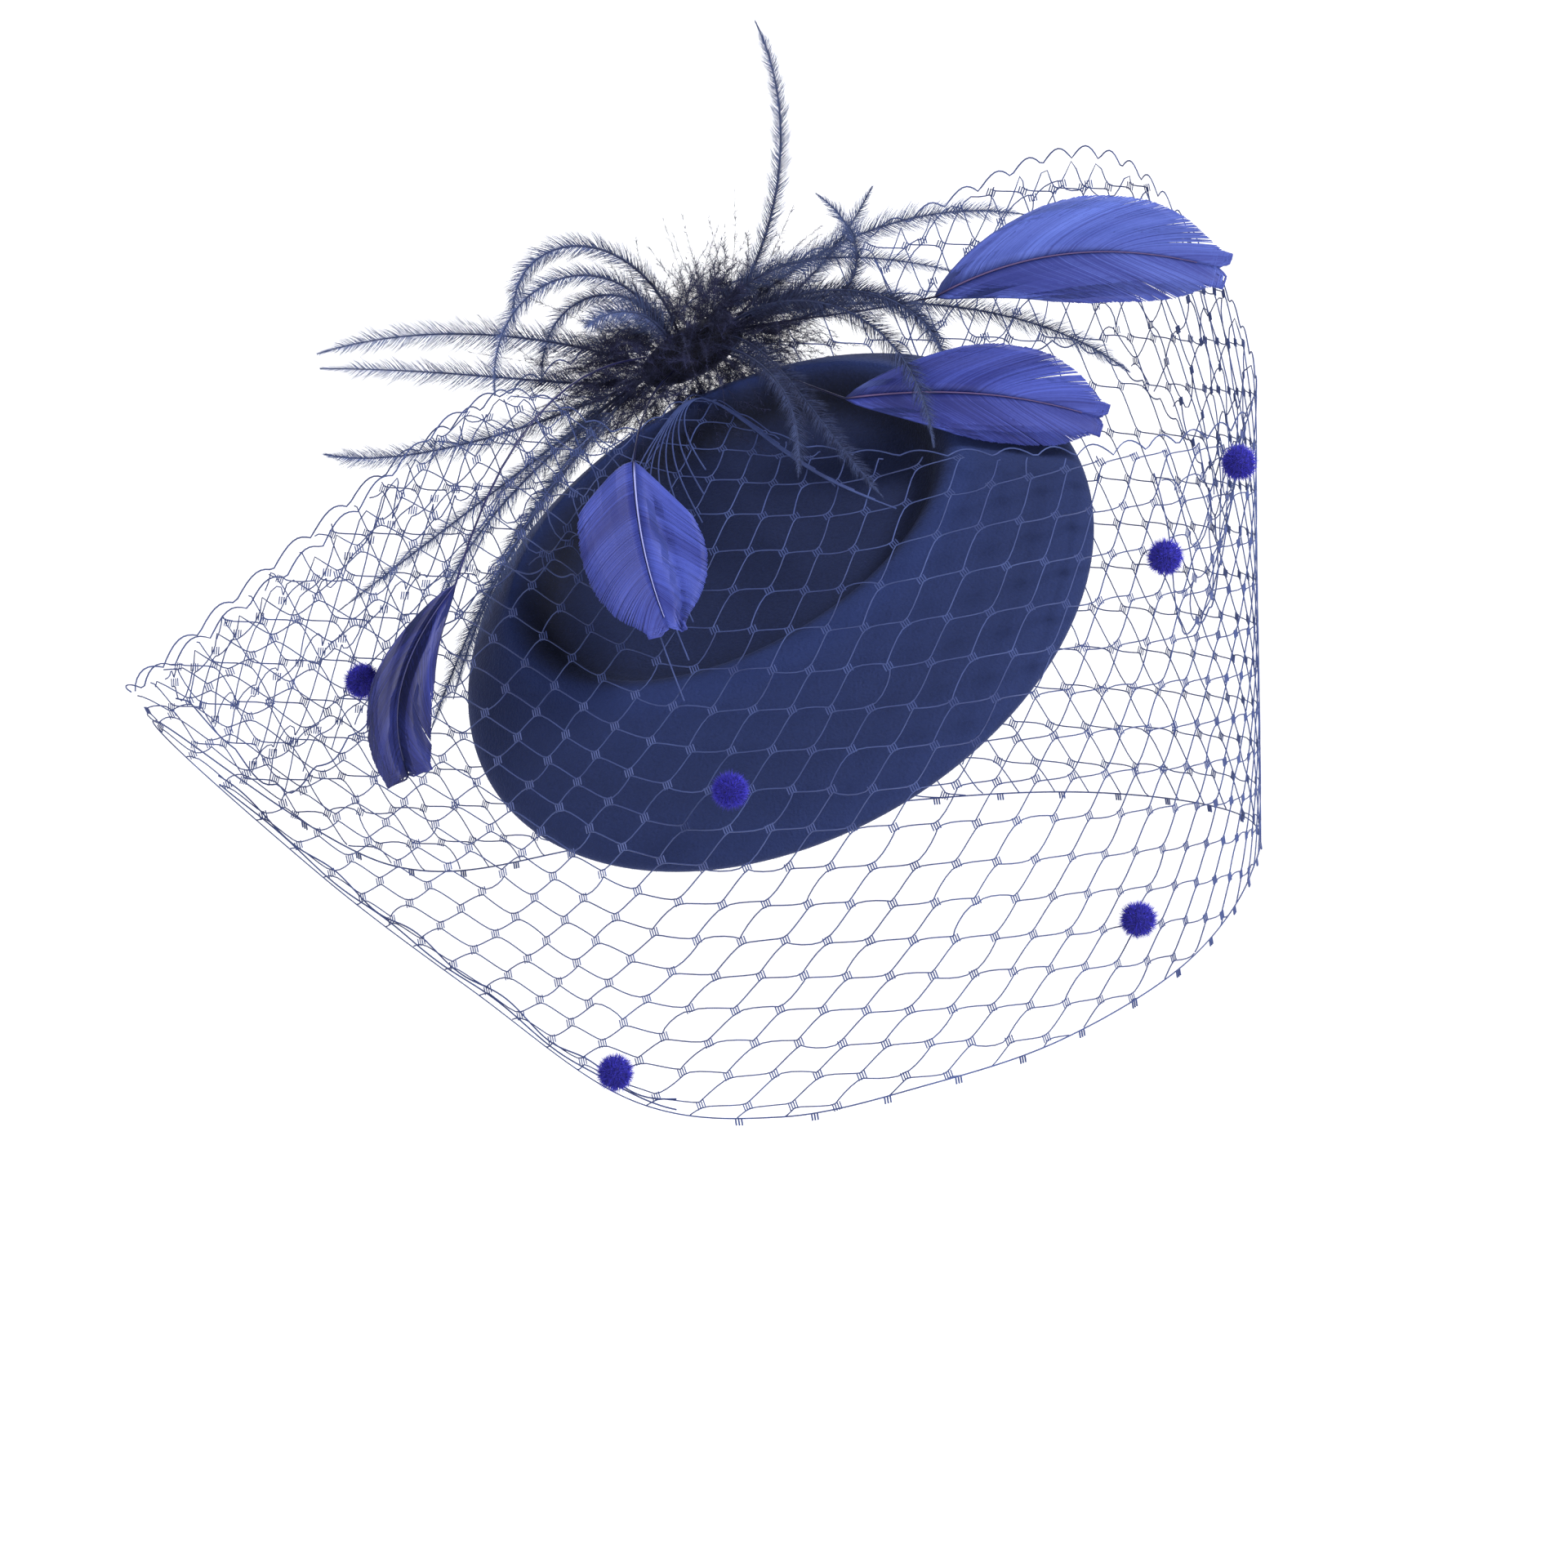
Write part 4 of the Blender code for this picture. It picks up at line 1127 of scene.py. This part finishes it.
def report_surface(piece: bpy.types.Object) -> None:
    """Log half of a piece's surface, which is its cloth."""
    faces = np.zeros(len(piece.data.polygons), np.float32)
    piece.data.polygons.foreach_get("area", faces)
    log.info("%s: %.4f square metres of thread", piece.name, faces.sum() / 2)


@dataclass
class ChenilleDots:
    """The fuzzy dots on the net."""

    surface: VeilSurface
    size: float = 0.0108
    core: float = 0.0070
    lift: float = 0.0011
    fibres: int = 2200
    fibre_thickness: float = 0.00020
    spread: float = 0.26
    seed: int = 5

    def build(self) -> None:
        """Make each dot as a core with its pile."""
        material = PILE.build()
        rng = np.random.default_rng(self.seed)
        for number, (station, drop) in enumerate(VEIL_DOTS, start=1):
            at, down = np.array([station]), np.array([drop])
            normal = self.surface.normal(at, down)[0]
            centre = self.surface.place(at, down)[0] + (self.size / 2 + self.lift / 2) * normal
            towards = unit(rng.normal(size=(self.fibres, 3)))
            roots = centre + towards * self.core / 2
            length = (self.size - self.core) / 2 * rng.uniform(0.75, 1.15, (self.fibres, 1))
            lean = (towards + self.spread * rng.normal(size=(self.fibres, 3))) * length
            core_points, core_faces = ball(centre, self.core * 0.56)
            points = np.concatenate([core_points, roots])
            bare = len(core_points)
            dot = row_mesh(
                f"chenille_dot_{number}", points, faces=core_faces,
                lean=np.concatenate([np.zeros((bare, 3)), lean]),
                side=np.concatenate([np.ones((bare, 3)), rng.normal(size=(self.fibres, 3))]),
                tone=np.concatenate([np.full(bare, 0.2), rng.uniform(0.1, 0.95, self.fibres)]),
            )
            BRISTLES.grow(dot, Thickness=self.fibre_thickness, Bend=0.0004, Segments=1,
                          Shortest=0.8, Seed=number, Material=material)
            hand_over(dot, Slots.CHENILLE, f"veil_dot_{number}")


def ball(centre: Points, radius: float, stretch: tuple[float, float, float] = (1.0, 1.0, 1.0),
         turn: Points | None = None) -> tuple[Points, list[tuple[int, ...]]]:
    """A low ball, or one stretched into an egg.

    Args:
        centre: its middle.
        radius: its radius.
        stretch: how much longer it is along each axis.
        turn: the way that its axes are turned.

    Returns:
        Its points and faces.
    """
    rings, sides = 7, 12
    points = [(0.0, 0.0, 1.0)]
    for ring in range(1, rings):
        polar = math.pi * ring / rings
        for side in range(sides):
            angle = math.tau * side / sides
            points.append((math.sin(polar) * math.cos(angle), math.sin(polar) * math.sin(angle),
                           math.cos(polar)))
    points.append((0.0, 0.0, -1.0))
    faces: list[tuple[int, ...]] = []
    for side in range(sides):
        after = (side + 1) % sides
        faces.append((0, 1 + side, 1 + after))
        for ring in range(rings - 2):
            start = 1 + ring * sides
            faces.append((start + side, start + sides + side, start + sides + after, start + after))
        last = 1 + (rings - 2) * sides
        faces.append((last + side, len(points) - 1, last + after))
    shape = radius * np.array(points) * np.array(stretch)
    if turn is not None:
        shape = shape @ turn.T
    return shape + centre, faces


@dataclass
class FeatherPlume:
    """The marabou head over the felt's upper rim, with its stripped fronds."""

    length: float = 0.066
    width: float = 0.030
    height: float = 0.026
    roots: float = 0.7
    reach: float = 0.100
    shafts: int = 620
    shaft_length: tuple[float, float] = (0.009, 0.024)
    shaft_thickness: float = 0.00016
    barbules: int = 78
    barbule_length: tuple[float, float] = (0.0030, 0.0064)
    barbule_thickness: float = 0.00013
    frond_thickness: float = 0.0009
    barb_every: float = 0.00025
    barb_length: float = 0.0066
    barb_thickness: float = 0.00021
    facing: tuple[float, float, float] = (0.0, -1.0, 0.15)
    down_fan: float = 0.7
    down_scatter: float = 0.45
    down_curl: float = 0.9
    barb_sweep: float = 0.85
    barb_scatter: float = 0.13
    barb_rise: float = 0.12
    seed: int = 23

    def seat(self, local: Points) -> Points:
        """Points of the plume's own axes in the layout's axes."""
        return (local + np.array(PLUME_SEAT)) @ FELT_TO_LAYOUT.T

    def down_shafts(self, rng: np.random.Generator) -> list[Points]:
        """Paths of the short marabou shafts that spring from the head."""
        half = np.array((self.length, self.width, self.height)) / 2
        paths = []
        shares = np.linspace(0.0, 1.0, 8)[:, None]
        for _ in range(self.shafts):
            towards = unit(rng.normal(size=3))
            root = self.seat(towards * half * rng.uniform(0.4, 0.95))
            outward = unit((towards / half) @ FELT_TO_LAYOUT.T)
            fan = np.array((1.3 * towards[0], -0.1, 0.35))
            start = unit(outward + self.down_fan * fan + self.down_scatter * rng.normal(size=3))
            curl = self.down_curl * rng.normal(size=3) + np.array((0.5 * towards[0], -0.15, -0.4))
            size = rng.uniform(*self.shaft_length)
            paths.append(root + size * (shares * start + 0.5 * shares ** 2 * curl))
        return paths

    def down(self) -> None:
        """Make the downy head: a core, fine shafts and their barbules."""
        rng = np.random.default_rng(self.seed)
        paths = self.down_shafts(rng)
        material = DOWN.build()
        points, pairs = chain(paths)
        shafts = row_mesh("plume_down_shafts", points, pairs,
                          girth=np.tile(np.linspace(1.0, 0.3, 8), len(paths)),
                          tone=np.full(len(points), 0.3))
        CORDS.grow(shafts, Thickness=self.shaft_thickness, Sides=3, Material=material)
        hand_over(shafts, Slots.PLUME)
        roots, leans, tones = [], [], []
        for path in paths:
            shares = rng.uniform(0.12, 1.0, self.barbules)
            places = bezier_sample(path, shares)
            ahead = unit(path[-1] - path[0])
            lean = (0.5 + 0.8 * shares[:, None]) * ahead + unit(rng.normal(size=(self.barbules, 3)))
            size = rng.uniform(*self.barbule_length, (self.barbules, 1)) * (1.2 - 0.8 * shares[:, None])
            roots.append(places)
            leans.append(unit(lean) * size)
            tones.append(rng.uniform(0.0, 1.0) * 0.6 + 0.4 * shares)
        half = np.array((self.length, self.width, self.height)) / 2
        core_points, core_faces = ball(self.seat(np.zeros(3)), 0.5, tuple(half), FELT_TO_LAYOUT)
        bare = len(core_points)
        roots, leans = np.concatenate(roots), np.concatenate(leans)
        down = row_mesh(
            "plume_down", np.concatenate([core_points, roots]), faces=core_faces,
            lean=np.concatenate([np.zeros((bare, 3)), leans]),
            side=np.concatenate([np.ones((bare, 3)), rng.normal(size=leans.shape)]),
            tone=np.concatenate([np.zeros(bare), *tones]),
        )
        BRISTLES.grow(down, Thickness=self.barbule_thickness, Bend=0.0, Segments=1,
                      Shortest=0.7, Seed=7, Material=material)
        hand_over(down, Slots.PLUME, "feather_plume")

    def fronds(self) -> None:
        """Make the fronds: thin dark shafts with short barbs down both sides."""
        rng = np.random.default_rng(self.seed + 1)
        material = FROND.build()
        facing = np.array(self.facing)
        steps = np.linspace(0.0, 1.0, 22)
        paths, roots, leans, sides, tones = [], [], [], [], []
        for root, first, second, tip, width in FRONDS:
            start = self.seat(np.array((root * self.roots * self.length / 2, 0.0, 0.0)))
            control = np.array([start, *(self.reach * np.array(bend) for bend in (first, second, tip))])
            path = bezier(control, steps)
            paths.append(path)
            span = np.linalg.norm(np.diff(path, axis=0), axis=1).sum()
            count = int(span / self.barb_every)
            shares = np.linspace(0.16, 0.995, count)
            places = bezier(control, shares)
            ahead = unit(bezier(control, shares + 0.01) - bezier(control, shares - 0.01))
            across = unit(np.cross(ahead, facing))
            up = unit(np.cross(across, ahead))
            swell = 0.6 + 0.4 * np.sin(math.pi * np.clip(shares * 1.05, 0.0, 1.0))
            wave = 1.0 + 0.16 * np.sin(shares * span * 900.0 + rng.uniform(0, 6))
            # Painted shade: fronds whose tips hang in front of the felt start darker than those reaching
            # out behind it.
            pale = 0.0 if tip[1] < 0.0 else 0.42
            for sign in (-1.0, 1.0):
                scatter = self.barb_scatter * rng.normal(size=(count, 3))
                tilt = self.barb_sweep * ahead + sign * across + scatter
                tilt = tilt + self.barb_rise * up * rng.normal(size=(count, 1))
                end = 0.25 + 0.75 * smooth((1.0 - shares) / 0.12)
                size = self.barb_length * width * swell * end * wave * rng.uniform(0.88, 1.06, count)
                roots.append(places)
                leans.append(unit(tilt) * size[:, None])
                sides.append(ahead + 0.3 * rng.normal(size=(count, 3)))
                tones.append(np.clip(pale + 0.4 * shares + 0.15 * rng.normal(size=count), 0.0, 1.0))
        points, pairs = chain(paths)
        girth = np.tile(1.0 - 0.72 * steps, len(paths))
        shafts = row_mesh("frond_shafts", points, pairs, girth=girth,
                          tone=np.tile(0.1 + 0.3 * steps, len(paths)))
        CORDS.grow(shafts, Thickness=self.frond_thickness, Sides=5, Material=material)
        hand_over(shafts, Slots.PLUME)
        barbs = row_mesh("frond_barbs", np.concatenate(roots), lean=np.concatenate(leans),
                         side=np.concatenate(sides), tone=np.concatenate(tones))
        BRISTLES.grow(barbs, Thickness=self.barb_thickness, Bend=0.0012, Segments=2,
                      Shortest=0.8, Seed=9, Material=material)
        hand_over(barbs, Slots.PLUME)

    def build(self) -> None:
        """Make the head and its fronds."""
        self.down()
        self.fronds()


def bezier_sample(path: Points, shares: Points) -> Points:
    """Points at shares of the way along a path of even steps."""
    place = shares * (len(path) - 1)
    steps = np.arange(len(path))
    return np.stack([np.interp(place, steps, path[:, axis]) for axis in range(3)], axis=1)


@dataclass
class GooseFeather:
    """A goose feather: a bare stem and a cupped vane of barbs on both sides of its quill."""

    number: int
    stem: tuple[tuple[float, float, float], ...]
    spine: tuple[tuple[float, float, float], ...]
    width: float
    twist: float
    outline: str
    finish: Finish
    quill_finish: Finish
    sweep: float = 0.30
    cup: float = 0.11
    reach: float = 0.100
    tilt: float = 0.1
    stem_start: float = 0.55
    stem_width: float = 0.0010
    barbs: int = 190
    barb_steps: int = 9
    barb_thickness: float = 0.00016
    barb_overlap: float = 1.9
    clumps: int = 9
    split: float = 0.008
    ripple: float = 0.0007
    folds: tuple[tuple[float, float, float, float], ...] = ()
    barb_jitter: float = 0.2
    shortest_barb: float = 0.97
    tip_ragged: float = 0.03
    tip_sweep: float = 0.45
    barb_taper: float = 0.6
    clump_tones: tuple[float, float] = (0.3, 0.7)
    tone_scatter: float = 0.09
    seed: int = 31

    def spine_points(self, along: Points) -> Points:
        """Points of the quill at shares of the way along the blade."""
        quill, middle, tip = (self.reach * np.array(point) for point in self.spine)
        bend = 2 * middle - (quill + tip) / 2
        a = along[:, None]
        return (1 - a) ** 2 * quill + 2 * a * (1 - a) * bend + a ** 2 * tip

    def axes(self, along: Points) -> tuple[Points, Points, Points]:
        """The vane's own directions: ahead, across and up from its face."""
        turn = math.radians(self.twist)
        facing = np.array((math.sin(turn), -math.cos(turn), self.tilt))
        ahead = unit(self.spine_points(along + 0.01) - self.spine_points(along - 0.01))
        across = unit(np.cross(ahead, facing))
        return ahead, across, unit(np.cross(across, ahead))

    def half_width(self, along: Points, side: float) -> Points:
        """Half width of the vane on one side at shares of the way along it."""
        rows = np.array(BLADE_OUTLINES[self.outline])
        length = self.blade_length()
        column = 1 if side < 0.0 else 2
        fine = np.linspace(0.0, 1.0, 41)
        coarse = np.interp(fine, rows[:, 0], rows[:, column])
        soft = np.convolve(np.pad(coarse, 2, mode="edge"), np.ones(5) / 5, mode="valid")
        return np.interp(along, fine, soft) * self.width * length

    def blade_length(self) -> float:
        """Length of the blade from its quill to its tip."""
        return self.reach * float(np.linalg.norm(np.array(self.spine[2]) - np.array(self.spine[0])))

    def vane_point(self, along: Points, across: Points) -> tuple[Points, Points]:
        """Points of the vane and the way its face looks there.

        Args:
            along: shares of the way along the blade.
            across: distances from the quill, to the left below zero.

        Returns:
            The points, and the directions up from the face.
        """
        inside = np.clip(along, 0.0, 1.0)
        _ahead, side, up = self.axes(inside)
        point = self.spine_points(along)
        wide = np.maximum(self.half_width(inside, -1.0), self.half_width(inside, 1.0))
        share = np.abs(across) / np.maximum(wide, 0.001)
        rise = -self.cup * np.minimum(share, 1.3) * np.abs(across)
        rise = rise + self.ripple * np.sin(across / self.width * 260.0 + 5.0 * along) * share
        for start, end, depth, place in self.folds:
            line = start + (end - start) * along
            away = (across / np.maximum(wide, 0.001) - line) / place
            rise = rise + depth * np.exp(-away ** 2) * smooth(along * 4)
        return point + across[:, None] * side + rise[:, None] * up, up

    def vane(self) -> tuple[Points, list[tuple[int, ...]], Points]:
        """Points, faces and tones of all the barbs as thin closed strips."""
        rng = np.random.default_rng(self.seed + self.number)
        length = self.blade_length()
        points, faces, tones = [], [], []
        shares = np.linspace(0.0, 1.0, self.barb_steps)
        for sign in (-1.0, 1.0):
            shift = rng.normal(0.0, self.split, self.clumps + 1)
            pale = rng.uniform(*self.clump_tones, self.clumps + 1)
            for number in range(self.barbs):
                jitter = rng.uniform(-self.barb_jitter, self.barb_jitter)
                root = (number + jitter) / (self.barbs - 1)
                place = root * self.clumps
                clump = int(min(place, self.clumps - 1))
                local = place - clump
                spread = shift[clump] * (1 - local) + shift[clump + 1] * local * 0.4
                tone = pale[clump] * (1 - local) + pale[clump + 1] * local
                reachable = root + self.sweep * (1.0 - self.tip_sweep * root)
                along = root + (reachable - root + spread) * shares ** 1.15
                ragged = rng.uniform(self.shortest_barb, 1.0)
                edge = self.half_width(np.clip(along[-1:], 0.0, 1.0), sign)[0] * ragged
                along = np.minimum(along, 1.0 + self.tip_ragged * rng.uniform(-1.0, 1.0))
                across = sign * edge * shares ** 0.85
                path, up = self.vane_point(along, across)
                ahead = unit(np.gradient(path, axis=0))
                side = unit(np.cross(ahead, up))
                breadth = self.barb_overlap * length / self.barbs / 2
                half = breadth * (1.0 - self.barb_taper * shares ** 3)[:, None]
                lift = self.barb_thickness / 2 * up
                base = len(points)
                for row in range(self.barb_steps):
                    points.extend((path[row] + half[row] * side[row], path[row] + lift[row],
                                   path[row] - half[row] * side[row], path[row] - lift[row]))
                for row in range(self.barb_steps - 1):
                    for corner in range(4):
                        after, start = (corner + 1) % 4, base + 4 * row
                        faces.append((start + corner, start + 4 + corner, start + 4 + after, start + after))
                faces.append((base, base + 1, base + 2, base + 3))
                end = base + 4 * (self.barb_steps - 1)
                faces.append((end + 3, end + 2, end + 1, end))
                tones.append(np.clip(tone + self.tone_scatter * rng.normal() - 0.15 * (sign > 0)
                                     + 0.12 * (shares - 0.5), 0.0, 1.0))
        return np.array(points), faces, np.repeat(np.concatenate(tones), 4)

    def quill_path(self) -> tuple[Points, Points, Points]:
        """Points, girths and tones of the stem and the quill."""
        start = np.array(PLUME_SEAT) @ FELT_TO_LAYOUT.T
        first, second = (self.reach * np.array(point) for point in self.stem)
        quill = self.reach * np.array(self.spine[0])
        start = start + self.stem_start * (first - start)
        stem = bezier(np.array([start, first, second, quill]), np.linspace(0.0, 1.0, 14))[:-1]
        along = np.linspace(0.0, 0.93, 24)
        _ahead, _across, up = self.axes(along)
        blade = self.spine_points(along) + self.barb_thickness * 2.2 * up
        girth = np.concatenate([np.full(len(stem), 0.62), 0.62 - 0.45 * along])
        tone = np.concatenate([np.zeros(len(stem)), smooth(along * 12.0)])
        return np.concatenate([stem, blade]), girth, tone

    def build(self) -> None:
        """Make the vane and the quill."""
        points, faces, tones = self.vane()
        blade = row_mesh(f"goose_vane_{self.number}", points, faces=faces, tone=tones)
        blade.data.shade_smooth()
        blade.data.materials.append(self.finish.build())
        hand_over(blade, Slots.GOOSE, f"goose_feather_{self.number}")
        path, girth, tone = self.quill_path()
        path, pairs = chain([path])
        quill = row_mesh(f"goose_quill_{self.number}", path, pairs, girth=girth, tone=tone)
        CORDS.grow(quill, Thickness=self.stem_width, Sides=6, Material=self.quill_finish.build())
        hand_over(quill, Slots.GOOSE)


GOOSE_FEATHERS = (
    GooseFeather(1, ((-0.06, 0.40, 0.80), (0.15, 0.30, 0.80)),
                 ((0.43, 0.20, 0.865), (0.80, 0.14, 0.985), (1.21, 0.12, 0.945)),
                 0.41, 0.0, "long", VANE, QUILL, sweep=0.42, barbs=230),
    GooseFeather(2, ((-0.16, 0.36, 0.72), (-0.04, 0.18, 0.66)),
                 ((0.18, -0.04, 0.59), (0.54, -0.12, 0.605), (0.87, -0.14, 0.54)),
                 0.42, 0.0, "long", DEEP_VANE, QUILL, sweep=0.42, barbs=220, split=0.016),
    GooseFeather(3, ((-0.33, 0.38, 0.62), (-0.38, 0.10, 0.60)),
                 ((-0.40, -0.14, 0.42), (-0.37, -0.31, 0.19), (-0.30, -0.46, -0.02)),
                 0.63, 12.0, "round", DEEP_VANE, PALE_QUILL, sweep=0.30,
                 folds=((-0.25, -0.55, -0.0014, 0.10),)),
    GooseFeather(4, ((-0.48, 0.30, 0.68), (-0.72, -0.10, 0.66)),
                 ((-0.89, -0.10, 0.08), (-1.03, -0.24, -0.18), (-1.01, -0.33, -0.42)),
                 0.33, 0.0, "blunt", DARK_VANE, DARK_QUILL, sweep=0.48, split=0.03,
                 folds=((-0.15, 0.05, -0.0022, 0.16),)),
)


@dataclass
class Studio:
    """A pale bowl of a floor, soft lights and the camera."""

    target: tuple[float, float, float] = (0.001125, 0.0, -0.04725)
    distance: float = 2.4
    elevation: float = math.radians(4.0)
    lens: float = 200.0
    sensor: float = 36.0
    floor_level: float = -0.42
    floor_radius: float = 3.6
    wall_radius: float = 1.2
    wall_height: float = 4.0
    sky: float = 0.1

    def floor(self) -> None:
        """Make the floor, which curves up into a wall all round."""
        rows = [(0.0, 0.0), (self.floor_radius, 0.0)]
        for step in range(1, 13):
            angle = math.pi / 2 * step / 12
            rows.append((self.floor_radius + self.wall_radius * math.sin(angle),
                         self.wall_radius * (1.0 - math.cos(angle))))
        rows.append((self.floor_radius + self.wall_radius, self.wall_height))
        sides = 96
        points = [(0.0, 0.0, self.floor_level)]
        for reach, rise in rows[1:]:
            for side in range(sides):
                angle = math.tau * side / sides
                points.append((reach * math.cos(angle), reach * math.sin(angle), self.floor_level + rise))
        faces: list[tuple[int, ...]] = []
        for side in range(sides):
            after = (side + 1) % sides
            faces.append((0, 1 + side, 1 + after))
            for ring in range(len(rows) - 2):
                start = 1 + ring * sides
                faces.append((start + side, start + sides + side, start + sides + after, start + after))
        floor = row_mesh("studio_floor", np.array(points), faces=faces)
        floor.data.shade_smooth()
        floor.data.materials.append(FLOOR.build())

    def light(self, name: str, place: tuple[float, float, float], size: float, power: float) -> None:
        """Hang a soft square light that looks at the hat.

        Args:
            name: the light's name.
            place: where it hangs, in the layout's axes.
            size: the length of its sides.
            power: its power in watts.
        """
        lamp = bpy.data.lights.new(name, "AREA")
        lamp.size, lamp.energy = size, power
        thing = bpy.data.objects.new(name, lamp)
        bpy.context.scene.collection.objects.link(thing)
        thing.location = Vector((LAYOUT_TO_ROW @ np.array(place)).tolist())
        thing.rotation_mode = "QUATERNION"
        thing.rotation_quaternion = thing.location.to_track_quat("Z", "Y")

    def camera(self) -> None:
        """Place the camera at the photo's angle."""
        data = bpy.data.cameras.new("camera")
        data.lens, data.sensor_width = self.lens, self.sensor
        camera = bpy.data.objects.new("camera", data)
        bpy.context.scene.collection.objects.link(camera)
        back = np.array((0.0, -math.cos(self.elevation), math.sin(self.elevation)))
        place = LAYOUT_TO_ROW @ (np.array(self.target) + self.distance * back)
        camera.location = Vector(place.tolist())
        camera.rotation_mode = "QUATERNION"
        camera.rotation_quaternion = Vector((LAYOUT_TO_ROW @ back).tolist()).to_track_quat("Z", "Y")
        bpy.context.scene.camera = camera

    def build(self) -> None:
        """Set up the floor, the sky, the lights and the camera."""
        self.camera()
        self.floor()
        bpy.context.scene.view_settings.view_transform = "Standard"
        world = bpy.data.worlds.new("soft_sky")
        world.use_nodes = True
        sky = world.node_tree.nodes["Background"]
        sky.inputs["Color"].default_value = linear((252, 252, 255))
        sky.inputs["Strength"].default_value = self.sky
        bpy.context.scene.world = world
        self.light("key", (1.5, -1.5, 1.5), 0.7, 112.0)
        self.light("fill", (-1.9, -1.6, 0.5), 1.4, 14.0)
        self.light("back", (-0.4, 1.9, 1.6), 1.2, 34.0)


def main() -> None:
    """Build the studio and every piece of the hat, in order."""
    logging.basicConfig(level=logging.INFO, format="%(name)s %(message)s")
    Studio().build()
    FeltSaucer().build()
    surface = VeilSurface()
    Veil(surface).build()
    ChenilleDots(surface).build()
    FeatherPlume().build()
    for feather in GOOSE_FEATHERS:
        feather.build()


if __name__ == "__main__":
    main()
